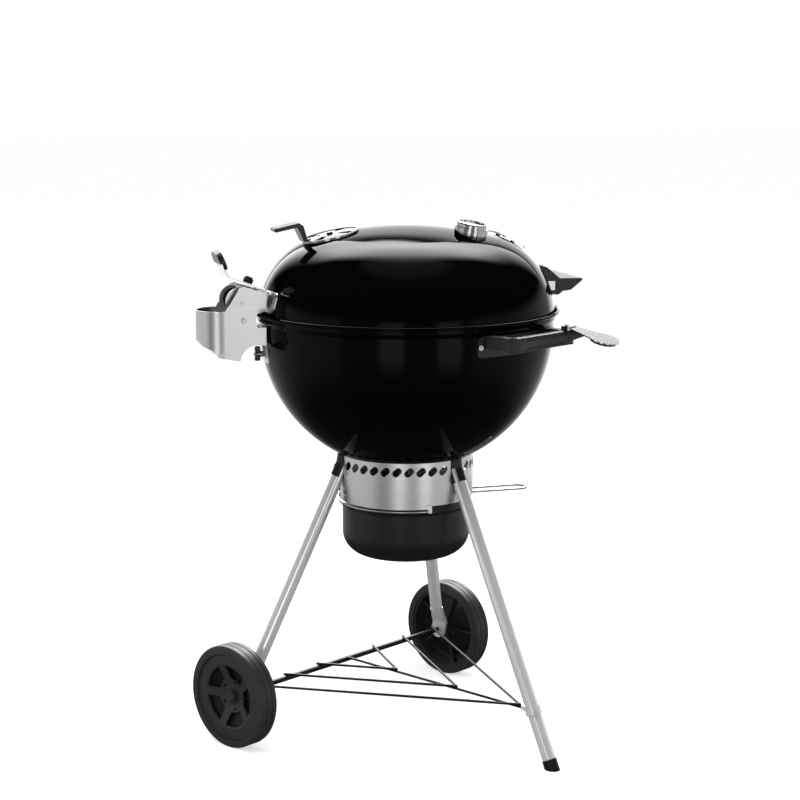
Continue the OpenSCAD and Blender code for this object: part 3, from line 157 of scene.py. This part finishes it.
class GrillStage(bpy.types.PropertyGroup):
    """The floor, the light and the camera."""

    focal_length: bpy.props.FloatProperty(
        name="Focal length", description="Focal length of the camera in millimetres",
        min=20, max=200, default=86.877)
    camera_place: bpy.props.FloatVectorProperty(
        name="Camera place", description="Where the camera stands",
        subtype="TRANSLATION", unit="LENGTH", size=3, default=(-3.5021, 1.1053, 1.3030))
    camera_azimuth: bpy.props.FloatProperty(
        name="Camera azimuth", description="Direction of view round the upright axis",
        subtype="ANGLE", default=math.atan2(-0.29797, 0.95458))
    camera_tilt: bpy.props.FloatProperty(
        name="Camera tilt", description="How far the camera looks down",
        subtype="ANGLE", default=0.174868)
    floor_size: bpy.props.FloatProperty(
        name="Floor size", description="Side of the floor", unit="LENGTH", min=4, default=60)
    key_power: bpy.props.FloatProperty(
        name="Top light", description="Power of the soft light overhead in watts",
        min=0, default=70)
    side_power: bpy.props.FloatProperty(
        name="Side lights", description="Power of each soft light at the sides in watts",
        min=0, default=45)


# ---------------------------------------------------------------- finishes

def porcelain_enamel(colour):
    """Black porcelain enamel fired on sheet steel: deep gloss with a faint orange peel."""
    material, tree, shader, place = new_material("porcelain_enamel")
    # The glass flows out in soft waves about 9 mm apart
    waves = add(tree, "ShaderNodeTexNoise", {"Vector": place, "Scale": 110, "Detail": 1.0})
    bump = add(tree, "ShaderNodeBump", {"Height": waves.outputs["Fac"], "Strength": 0.018,
                                        "Distance": 0.001})
    shader.inputs["Base Color"].default_value = (*colour, 1)
    shader.inputs["Roughness"].default_value = 0.05
    # The black ground swallows faint reflections, so the gloss shows mostly at a slant
    shader.inputs["Specular IOR Level"].default_value = 0.06
    tree.links.new(bump.outputs["Normal"], shader.inputs["Normal"])
    return material


def plated_tube(colour):
    """Plated steel tube: bright and smooth, with faint draw lines along its length."""
    material, tree, shader, place = new_material("plated_steel_tube")
    stretch = add(tree, "ShaderNodeMapping", {"Vector": place, "Scale": (900, 900, 12)})
    lines = add(tree, "ShaderNodeTexNoise", {"Vector": stretch.outputs["Vector"],
                                             "Scale": 1, "Detail": 2})
    gloss = add(tree, "ShaderNodeMapRange", {"Value": lines.outputs["Fac"],
                                             "To Min": 0.06, "To Max": 0.16})
    shader.inputs["Base Color"].default_value = (*colour, 1)
    # Fine scratches scatter part of the light, which keeps the tube an even pale grey
    shader.inputs["Metallic"].default_value = 0.5
    tree.links.new(gloss.outputs["Result"], shader.inputs["Roughness"])
    return material


def brushed_stainless(colour, name, scale, rough, turning=0):
    """Stainless sheet brushed with a belt: fine lines that stretch each highlight across them.

    Scale gives the lines per metre along each axis, and turning how far a highlight
    stretches on a sheet that was brushed round the upright axis.
    """
    material, tree, shader, place = new_material(name)
    # A belt leaves lines about 0.1 mm apart; they are drawn about 2 mm apart so that they show
    stretch = add(tree, "ShaderNodeMapping", {"Vector": place, "Scale": scale})
    lines = add(tree, "ShaderNodeTexNoise", {"Vector": stretch.outputs["Vector"],
                                             "Scale": 1, "Detail": 3})
    tone = add(tree, "ShaderNodeMix", {"Factor": lines.outputs["Fac"],
                                       "A": (*[c * 0.92 for c in colour], 1), "B": (*colour, 1)},
               data_type="RGBA")
    gloss = add(tree, "ShaderNodeMapRange", {"Value": lines.outputs["Fac"],
                                             "To Min": rough - 0.05, "To Max": rough + 0.07})
    tree.links.new(tone.outputs["Result"], shader.inputs["Base Color"])
    tree.links.new(gloss.outputs["Result"], shader.inputs["Roughness"])
    shader.inputs["Metallic"].default_value = 1
    if turning:
        shader.inputs["Anisotropic"].default_value = turning
        around = add(tree, "ShaderNodeTangent", direction_type="RADIAL", axis="Z")
        tree.links.new(around.outputs["Tangent"], shader.inputs["Tangent"])
    return material


def plain_metal(name, hex_code, rough, grain=1500, spread=0.05):
    """Plated or bare steel: an even metal with a slight mottle in its gloss.

    Grain gives the mottle's waves per metre, and spread how far the roughness wanders.
    """
    material, tree, shader, place = new_material(name)
    mottle = add(tree, "ShaderNodeTexNoise", {"Vector": place, "Scale": grain, "Detail": 2})
    gloss = add(tree, "ShaderNodeMapRange", {"Value": mottle.outputs["Fac"],
                                             "To Min": rough - spread, "To Max": rough + spread})
    shader.inputs["Base Color"].default_value = (*linear(hex_code), 1)
    shader.inputs["Metallic"].default_value = 1
    tree.links.new(gloss.outputs["Result"], shader.inputs["Roughness"])
    return material


def moulded_plastic(name, colour, rough=0.42, grain=2200, depth=0.06):
    """Plastic from a spark-eroded mould: an even satin with a fine leathery grain.

    Grain gives the pits per metre, and depth how strongly they show.
    """
    material, tree, shader, place = new_material(name)
    # The mould's grain is about 0.3 mm; it is drawn at 0.5 mm
    pits = add(tree, "ShaderNodeTexNoise", {"Vector": place, "Scale": grain, "Detail": 2})
    bump = add(tree, "ShaderNodeBump", {"Height": pits.outputs["Fac"], "Strength": depth,
                                        "Distance": 0.0004})
    gloss = add(tree, "ShaderNodeMapRange", {"Value": pits.outputs["Fac"],
                                             "To Min": rough - 0.05, "To Max": rough + 0.06})
    shader.inputs["Base Color"].default_value = (*colour, 1)
    tree.links.new(gloss.outputs["Result"], shader.inputs["Roughness"])
    tree.links.new(bump.outputs["Normal"], shader.inputs["Normal"])
    return material


def pan_coating(colour):
    """Baked satin coating on aluminium sheet: a soft sheen over a faint grain."""
    material, tree, shader, place = new_material("satin_pan_coating")
    cloud = add(tree, "ShaderNodeTexNoise", {"Vector": place, "Scale": 25, "Detail": 3})
    tone = add(tree, "ShaderNodeMix", {"Factor": cloud.outputs["Fac"],
                                       "A": (*[c * 0.8 for c in colour], 1), "B": (*colour, 1)},
               data_type="RGBA")
    tree.links.new(tone.outputs["Result"], shader.inputs["Base Color"])
    shader.inputs["Roughness"].default_value = 0.4
    shader.inputs["Specular IOR Level"].default_value = 0.35
    return material


def gauge_glass():
    """Flat soda-lime glass: clear, with a faint film of dust that dulls the gloss in places."""
    material, tree, shader, place = new_material("gauge_glass")
    film = add(tree, "ShaderNodeTexNoise", {"Vector": place, "Scale": 120, "Detail": 2})
    gloss = add(tree, "ShaderNodeMapRange", {"Value": film.outputs["Fac"],
                                             "To Min": 0.005, "To Max": 0.035})
    shader.inputs["Base Color"].default_value = (1, 1, 1, 1)
    shader.inputs["Transmission Weight"].default_value = 1
    tree.links.new(gloss.outputs["Result"], shader.inputs["Roughness"])
    shader.inputs["IOR"].default_value = 1.5
    return material


def dial_enamel(name, hex_code):
    """Matt enamel or lacquer on the dial: flat to the eye, with a fine speckle in its sheen."""
    material, tree, shader, place = new_material(name)
    speck = add(tree, "ShaderNodeTexNoise", {"Vector": place, "Scale": 3000, "Detail": 1})
    gloss = add(tree, "ShaderNodeMapRange", {"Value": speck.outputs["Fac"],
                                             "To Min": 0.45, "To Max": 0.6})
    shader.inputs["Base Color"].default_value = (*linear(hex_code), 1)
    tree.links.new(gloss.outputs["Result"], shader.inputs["Roughness"])
    return material


# ---------------------------------------------------------------- pieces

class GRILL_OT_shell(bpy.types.Operator):
    """Enamels the bowl, the lid and the grate's ledges"""

    bl_idname = "grill.shell"
    bl_label = "Bowl and lid"

    def execute(self, context):
        enamel = porcelain_enamel(context.scene.grill_finishes.enamel)
        paint(["bowl", "lid", "grate_ledges"], enamel)
        return {"FINISHED"}


class GRILL_OT_stand(bpy.types.Operator):
    """Finishes the legs, their sockets, the foot, the axle and the rack"""

    bl_idname = "grill.stand"
    bl_label = "Stand"

    def execute(self, context):
        colours = context.scene.grill_finishes
        paint(["leg_left", "leg_right", "leg_rear", "rack_clip"], plated_tube(colours.plating))
        paint(["leg_sockets", "foot_cap"],
              moulded_plastic("glass_filled_nylon_stand", colours.nylon))
        paint(["axle", "socket_bolts"],
              plain_metal("zinc_plated_steel_stand", "#c4c5c8", rough=0.25))
        paint(["bottom_rack"],
              moulded_plastic("black_powder_coat", linear("#141516"),
                              rough=0.35, grain=1400, depth=0.1))
        return {"FINISHED"}


# Section of the wheels' web, a thin cone behind the spokes, drawn darker than the wheel as painted
# shade
# inside the wheel: radius, and distance outward from the wheel's middle
WEB_SECTION = ((0.024, -0.005), (0.0635, 0.0072), (0.0635, 0.0056), (0.024, -0.0066))


class GRILL_OT_wheels(bpy.types.Operator):
    """Finishes the wheels, the tyres and the axle's caps, and closes the wheels with dark webs of
    painted shade
    """

    bl_idname = "grill.wheels"
    bl_label = "Wheels"

    def execute(self, context):
        colours = context.scene.grill_finishes
        paint(["wheel_rear", "wheel_right", "tyre_rear", "tyre_right",
               "axle_cap_rear", "axle_cap_right"],
              moulded_plastic("moulded_polypropylene", colours.wheel, rough=0.45))
        # The web's colour is painted shade: a dark sheet behind the spokes, darker than the wheel's
        # plastic
        painted_shade_web = moulded_plastic("web_plastic_painted_shade", colours.nylon, rough=0.45)
        for name, outward in (("rear", 1), ("right", -1)):
            joint = joints["wheel_%s_spin" % name]
            web = swept_ring(WEB_SECTION)
            place = axis_place(joint["pos_m"], outward * Vector(joint["axis"]))
            bmesh.ops.transform(web, matrix=place, verts=web.verts)
            piece("wheel_web_" + name, "wheel_" + name, web, painted_shade_web)
        return {"FINISHED"}


class GRILL_OT_ash_catcher(bpy.types.Operator):
    """Finishes the perforated ring, the pan, its handle and the cleaning blades"""

    bl_idname = "grill.ash_catcher"
    bl_label = "Ash catcher"

    def execute(self, context):
        colours = context.scene.grill_finishes
        paint(["ash_ring"],
              brushed_stainless(colours.stainless, "brushed_stainless",
                                scale=(14, 14, 700), rough=0.28, turning=0.6))
        paint(["ash_pan"], pan_coating(colours.pan))
        paint(["ring_rivets", "pan_hanger"],
              plain_metal("zinc_plated_steel_ring", "#b8b9bc", rough=0.3))
        paint(["pan_handle"], plain_metal("nickel_plated_wire_pan", "#d8d9da", rough=0.2))
        paint(["sweep_blades", "cleaning_lever"],
              plain_metal("aluminised_steel", "#9b9c9f", rough=0.4))
        return {"FINISHED"}


class GRILL_OT_handles(bpy.types.Operator):
    """Finishes the bowl's and the lid's handles and the round plate"""

    bl_idname = "grill.handles"
    bl_label = "Handles"

    def execute(self, context):
        colours = context.scene.grill_finishes
        paint(["handle_left", "handle_right", "lid_handle", "plate_backing"],
              moulded_plastic("glass_filled_nylon_handles", colours.nylon, rough=0.4))
        paint(["plate_bracket", "lid_heat_shield"],
              brushed_stainless(colours.stainless, "polished_stainless_plate",
                                scale=(500, 12, 12), rough=0.10))
        paint(["handle_screws", "lid_handle_screws"],
              plain_metal("zinc_plated_screws", "#c9cacc", rough=0.25))
        return {"FINISHED"}


class GRILL_OT_hinge(bpy.types.Operator):
    """Finishes the hinge housing, its mechanism and the release lever"""

    bl_idname = "grill.hinge"
    bl_label = "Hinge"

    def execute(self, context):
        colours = context.scene.grill_finishes
        paint(["hinge_housing", "lid_bracket", "release_lever"],
              brushed_stainless(colours.stainless, "satin_stainless_hinge",
                                scale=(12, 12, 500), rough=0.3))
        paint(["hinge_pin", "hinge_bolts", "wing_nut", "release_pin", "hinge_springs"],
              plain_metal("zinc_plated_steel_hinge", "#b4b5b8", rough=0.28))
        paint(["hinge_block", "release_pad", "release_knob"],
              moulded_plastic("glass_filled_nylon_hinge", colours.nylon, rough=0.4))
        return {"FINISHED"}


class GRILL_OT_lid_fittings(bpy.types.Operator):
    """Finishes the thermometer, the damper and the front plate"""

    bl_idname = "grill.lid_fittings"
    bl_label = "Lid fittings"

    def execute(self, context):
        colours = context.scene.grill_finishes
        paint(["thermometer_case"],
              plain_metal("polished_chrome", "#b0b1b4", rough=0.05, grain=900, spread=0.02))
        paint(["thermometer_dial"], dial_enamel("dial_enamel", "#e6e5e0"))
        paint(["thermometer_lens"], gauge_glass())
        paint(["thermometer_needle"], dial_enamel("needle_lacquer", "#b0261c"))
        paint(["thermometer_probe", "plate_spacers"],
              plain_metal("zinc_plated_steel_lid", "#b4b5b8", rough=0.28))
        paint(["front_plate"],
              brushed_stainless(colours.stainless, "polished_stainless_front",
                                scale=(400, 12, 12), rough=0.10))
        paint(["lid_damper", "damper_rivet"],
              plain_metal("cast_aluminium_damper", "#9c9da0", rough=0.14, grain=700))
        paint(["damper_tab"], moulded_plastic("glass_filled_nylon_lid", colours.nylon, rough=0.4))
        return {"FINISHED"}


# The scale reads 50 to 400: a tick every 10, with every fifth tick long and numbered
DIAL_START, DIAL_STEP, DIAL_STEPS, DIAL_LONG = 50, 10, 35, 5
# Angle that the scale covers, and its sizes in metres
DIAL_SWEEP = math.radians(250)
DIAL_RADIUS, ARC_WIDTH, NUMBER_RADIUS, NUMBER_SIZE = 0.0195, 0.0007, 0.0143, 0.0052
# Inset from the arc, length and width of a long and of a short tick
LONG_TICK, SHORT_TICK = (0.0012, 0.0032, 0.0005), (0.0004, 0.0017, 0.0003)
# Thickness of the print, and its height over the middle of the dial plate
PRINT_T, PRINT_UP = 0.00012, 0.0006


class GRILL_OT_dial_marks(bpy.types.Operator):
    """Prints the scale's arc, ticks and numbers on the thermometer's dial"""

    bl_idname = "grill.dial_marks"
    bl_label = "Dial marks"

    def execute(self, context):
        low, high = (Vector(corner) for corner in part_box("thermometer_dial"))
        outward = Vector(joints["needle_turn"]["axis"])
        place = axis_place((low + high) / 2 + outward * PRINT_UP, outward)
        black = dial_enamel("dial_printing_black", "#16171a")
        marks = self.scale()
        bmesh.ops.transform(marks, matrix=place, verts=marks.verts)
        piece("dial_scale", "lid", marks, black)
        upright = Matrix.Rotation(-math.pi / 2, 4, "Z")
        for i in range(0, DIAL_STEPS + 1, DIAL_LONG):
            reading = DIAL_START + i * DIAL_STEP
            angle = DIAL_SWEEP / 2 - i * DIAL_SWEEP / DIAL_STEPS
            spot = Vector((math.cos(angle), math.sin(angle), 0)) * NUMBER_RADIUS
            digits = self.number(context, str(reading))
            bmesh.ops.transform(digits, matrix=place @ Matrix.Translation(spot) @ upright,
                                verts=digits.verts)
            piece("dial_number_%d" % reading, "lid", digits, black)
        return {"FINISHED"}

    def scale(self):
        """The arc and its ticks."""
        inner, outer = DIAL_RADIUS, DIAL_RADIUS + ARC_WIDTH
        section = ((inner, 0), (outer, 0), (outer, PRINT_T), (inner, PRINT_T))
        marks = swept_ring(section, DIAL_SWEEP, steps=60)
        for i in range(DIAL_STEPS + 1):
            inset, length, width = SHORT_TICK if i % DIAL_LONG else LONG_TICK
            turn = Matrix.Rotation(i * DIAL_SWEEP / DIAL_STEPS - DIAL_SWEEP / 2, 4, "Z")
            shift = Matrix.Translation((DIAL_RADIUS - inset, 0, PRINT_T / 2))
            bmesh.ops.create_cube(marks, size=1, matrix=turn @ shift
                                  @ Matrix.Diagonal((length, width, PRINT_T, 1)))
        return marks

    def number(self, context, text):
        """One number as a mesh, about its own middle."""
        words = bpy.data.curves.new("dial_number", "FONT")
        words.body = text
        words.size = NUMBER_SIZE
        words.align_x, words.align_y = "CENTER", "CENTER"
        words.extrude = PRINT_T / 2
        words.resolution_u = 3
        holder = bpy.data.objects.new("dial_number", words)
        context.scene.collection.objects.link(holder)
        flat = bpy.data.meshes.new_from_object(holder)
        bpy.data.objects.remove(holder)
        digits = bmesh.new()
        digits.from_mesh(flat)
        bpy.data.meshes.remove(flat)
        return digits


class GRILL_OT_grates(bpy.types.Operator):
    """Finishes the cooking grate, its flaps and the charcoal grate"""

    bl_idname = "grill.grates"
    bl_label = "Grates"

    def execute(self, context):
        paint(["cooking_grate", "flap_left", "flap_right"],
              plain_metal("nickel_plated_wire", "#d0d1d2", rough=0.25))
        paint(["charcoal_grate"],
              plain_metal("bare_carbon_steel", "#77787b", rough=0.5, grain=600, spread=0.1))
        return {"FINISHED"}


# ---------------------------------------------------------------- stage

# The studio as bright surfaces mirror it. A direction's unit vector gives these values:
#   back, toward, side, up  along the camera's view, against it, to its right, and upward
#   wide                    how far to either side
#   turn, turned            angle round from the camera to its right in radians, and its size
#   edge                    height with a bow and a slant, which the panel's lower edge follows
#   fall                    height with a rise to both sides, which the panel's top follows
# Each patch is a brightness and its ramps: value, from, to, factor before and factor after.
EDGE_BOW, EDGE_SLANT, FALL_RISE = 1.82, -0.31, 0.9
STUDIO = (
    # Soft panel overhead, behind the grill, with a sharp lower edge
    (17.0, (("edge", 0.50, 0.53, 0, 1), ("up", 0.50, 0.80, 0.36, 1), ("fall", 0.90, 1.01, 1, 0),
            ("wide", 0.30, 0.62, 1, 0), ("back", -0.15, 0.15, 0, 1))),
    # Pale wall behind the grill under the panel
    (1.6, (("edge", 0.38, 0.48, 1, 0.2), ("edge", 0.47, 0.49, 1, 0), ("wide", 0.45, 0.75, 1, 0),
           ("back", 0.0, 0.4, 0, 1), ("up", -0.30, -0.05, 0, 1))),
    # Ceiling
    (0.7, (("up", 0.90, 0.97, 0, 1),)),
    # Room round the horizon, dimmer over the floor near the grill
    (0.26, (("up", 0.08, 0.24, 1, 0), ("up", -0.60, -0.15, 0.2, 1))),
    (0.50, (("turned", 0.80, 0.95, 0, 1), ("up", 0.08, 0.24, 1, 0), ("up", -0.50, -0.15, 0, 1))),
    # Two tall strips beside the camera
    (1.5, (("turn", -0.40, -0.28, 0, 1), ("turn", -0.08, 0.02, 1, 0), ("up", 0.05, 0.2, 1, 0),
           ("up", -0.40, -0.15, 0, 1))),
    (1.5, (("turn", 0.35, 0.45, 0, 1), ("turn", 0.66, 0.78, 1, 0), ("up", 0.05, 0.2, 1, 0),
           ("up", -0.40, -0.15, 0, 1))),
)


def studio_glow(tree, way, azimuth):
    """The studio's brightness in a direction, with the camera looking along an azimuth."""
    unit = add(tree, "ShaderNodeVectorMath", {0: way}, operation="NORMALIZE").outputs["Vector"]
    east, north = math.cos(azimuth), math.sin(azimuth)
    value = {}
    for name, axis in (("back", (east, north, 0)), ("toward", (-east, -north, 0)),
                       ("side", (north, -east, 0)), ("up", (0, 0, 1))):
        value[name] = add(tree, "ShaderNodeVectorMath", {0: unit, 1: axis},
                          operation="DOT_PRODUCT").outputs["Value"]
    for name, kind, inputs in (
        ("wide", "ABSOLUTE", ("side",)),
        ("turn", "ARCTAN2", ("side", "toward")),
        ("turned", "ABSOLUTE", ("turn",)),
        ("bow", "MULTIPLY_ADD", ("side", EDGE_BOW, EDGE_SLANT)),
        ("edge", "MULTIPLY_ADD", ("side", "bow", "up")),
        ("lean", "MULTIPLY", ("side", FALL_RISE)),
        ("fall", "MULTIPLY_ADD", ("side", "lean", "up")),
    ):
        terms = {i: value.get(term, term) for i, term in enumerate(inputs)}
        value[name] = add(tree, "ShaderNodeMath", terms, operation=kind).outputs[0]
    total = 0.0
    for strength, bounds in STUDIO:
        patch = strength
        for name, start, end, low, high in bounds:
            ramp = add(tree, "ShaderNodeMapRange",
                       {"Value": value[name], "From Min": start, "From Max": end,
                        "To Min": low, "To Max": high}, interpolation_type="SMOOTHSTEP")
            patch = add(tree, "ShaderNodeMath", {0: patch, 1: ramp.outputs["Result"]},
                        operation="MULTIPLY").outputs[0]
        total = add(tree, "ShaderNodeMath", {0: total, 1: patch}, operation="ADD").outputs[0]
    return total


# Glow of the floor as the camera sees it, and the world's light on everything but reflections
EVEN_LIGHT = 0.55
# Where the studio is seen from, for reflections that meet the floor, and where the lamps aim
STUDIO_MIDDLE, LAMP_AIM = (0, 0, 0.5), (0, 0, 0.65)


class GRILL_OT_stage(bpy.types.Operator):
    """Sets up the floor, the white surroundings, the lights and the camera"""

    bl_idname = "grill.stage"
    bl_label = "Stage"

    def execute(self, context):
        stage = context.scene.grill_stage
        self.floor(context, stage)
        self.surroundings(context, stage)
        self.lights(context, stage)
        self.camera(context, stage)
        context.scene.view_settings.view_transform = "Standard"
        return {"FINISHED"}

    def floor(self, context, stage):
        """A white floor that keeps a soft shadow."""
        shape = bmesh.new()
        bmesh.ops.create_grid(shape, x_segments=1, y_segments=1, size=stage.floor_size / 2)
        mesh = bpy.data.meshes.new("floor")
        shape.to_mesh(mesh)
        shape.free()
        ground = bpy.data.objects.new("floor", mesh)
        context.scene.collection.objects.link(ground)
        material, tree, shader, place = new_material("white_floor")
        rays = add(tree, "ShaderNodeLightPath")
        # Seen straight, the floor is white with a faint shadow; reflections show the studio's floor
        way = add(tree, "ShaderNodeVectorMath", {0: place, 1: STUDIO_MIDDLE}, operation="SUBTRACT")
        studio = studio_glow(tree, way.outputs["Vector"], stage.camera_azimuth)
        glow = add(tree, "ShaderNodeMix", {"Factor": rays.outputs["Is Glossy Ray"],
                                           "A": 0.0, "B": studio}, data_type="FLOAT")
        seen = add(tree, "ShaderNodeMix", {"Factor": rays.outputs["Is Camera Ray"],
                                           "A": glow.outputs["Result"], "B": EVEN_LIGHT},
                   data_type="FLOAT")
        tone = add(tree, "ShaderNodeMix", {"Factor": rays.outputs["Is Glossy Ray"],
                                           "A": (0.8, 0.8, 0.8, 1), "B": (0, 0, 0, 1)},
                   data_type="RGBA")
        tree.links.new(tone.outputs["Result"], shader.inputs["Base Color"])
        tree.links.new(seen.outputs["Result"], shader.inputs["Emission Strength"])
        shader.inputs["Roughness"].default_value = 1
        shader.inputs["Specular IOR Level"].default_value = 0
        shader.inputs["Emission Color"].default_value = (1, 1, 1, 1)
        mesh.materials.append(material)

    def surroundings(self, context, stage):
        """White where seen straight, and the studio's panels in reflections."""
        world = bpy.data.worlds.new("studio")
        world.use_nodes = True
        tree = world.node_tree
        rays = add(tree, "ShaderNodeLightPath")
        way = add(tree, "ShaderNodeTexCoord").outputs["Generated"]
        studio = studio_glow(tree, way, stage.camera_azimuth)
        soft = add(tree, "ShaderNodeMix", {"Factor": rays.outputs["Is Glossy Ray"],
                                           "A": EVEN_LIGHT, "B": studio}, data_type="FLOAT")
        seen = add(tree, "ShaderNodeMix", {"Factor": rays.outputs["Is Camera Ray"],
                                           "A": soft.outputs["Result"], "B": 1.0},
                   data_type="FLOAT")
        shader = tree.nodes["Background"]
        shader.inputs["Color"].default_value = (1, 1, 1, 1)
        tree.links.new(seen.outputs["Result"], shader.inputs["Strength"])
        context.scene.world = world

    def lights(self, context, stage):
        """Soft boxes overhead and at the sides, which light the grill but aren't mirrored in it."""
        # Name, place, width and height, power
        for name, place, size, power in (
            ("top_light", (-0.6, 0.2, 3.1), (2.6, 1.6), stage.key_power),
            ("left_light", (0.6, 3.2, 1.4), (1.2, 2.4), stage.side_power),
            ("right_light", (-1.0, -3.2, 1.4), (1.2, 2.4), stage.side_power),
        ):
            lamp = bpy.data.lights.new(name, "AREA")
            lamp.shape = "RECTANGLE"
            lamp.size, lamp.size_y = size
            lamp.energy = power
            box = bpy.data.objects.new(name, lamp)
            box.location = place
            aim = Vector(LAMP_AIM) - Vector(place)
            box.rotation_euler = aim.to_track_quat("-Z", "Y").to_euler()
            box.visible_glossy = False
            context.scene.collection.objects.link(box)

    def camera(self, context, stage):
        """The camera, a little over the lid and looking slightly down."""
        lens = bpy.data.cameras.new("camera")
        lens.lens = stage.focal_length
        lens.sensor_width = 36
        lens.clip_end = 200
        eye = bpy.data.objects.new("camera", lens)
        eye.location = stage.camera_place
        turn, tilt = stage.camera_azimuth, stage.camera_tilt
        aim = Vector((math.cos(turn) * math.cos(tilt), math.sin(turn) * math.cos(tilt),
                      -math.sin(tilt)))
        eye.rotation_euler = aim.to_track_quat("-Z", "Y").to_euler()
        context.scene.collection.objects.link(eye)
        context.scene.camera = eye


class GRILL_PT_panel(bpy.types.Panel):
    """Lists the grill's pieces and finishes"""

    bl_idname = "GRILL_PT_panel"
    bl_label = "Kettle grill"
    bl_space_type = "VIEW_3D"
    bl_region_type = "UI"
    bl_category = "Grill"

    def draw(self, context):
        column = self.layout.column()
        for settings in (context.scene.grill_finishes, context.scene.grill_stage):
            for name in settings.bl_rna.properties.keys():
                if name not in {"rna_type", "name"}:
                    column.prop(settings, name)
        for step in STEPS:
            column.operator(step.bl_idname)


STEPS = (GRILL_OT_shell, GRILL_OT_stand, GRILL_OT_wheels, GRILL_OT_ash_catcher,
         GRILL_OT_handles, GRILL_OT_hinge, GRILL_OT_lid_fittings, GRILL_OT_dial_marks,
         GRILL_OT_grates, GRILL_OT_stage)
CLASSES = (GrillFinishes, GrillStage, *STEPS, GRILL_PT_panel)


def register():
    """Registers the classes and puts the settings on the scene."""
    for item in CLASSES:
        bpy.utils.register_class(item)
    bpy.types.Scene.grill_finishes = bpy.props.PointerProperty(type=GrillFinishes)
    bpy.types.Scene.grill_stage = bpy.props.PointerProperty(type=GrillStage)


def unregister():
    """Takes the settings and the classes away again."""
    del bpy.types.Scene.grill_finishes
    del bpy.types.Scene.grill_stage
    for item in reversed(CLASSES):
        bpy.utils.unregister_class(item)


def main():
    register()
    for step in STEPS:
        group, name = step.bl_idname.split(".")
        if getattr(getattr(bpy.ops, group), name)() != {"FINISHED"}:
            raise RuntimeError(step.bl_label + " wasn't finished")


if __name__ == "__main__":
    main()
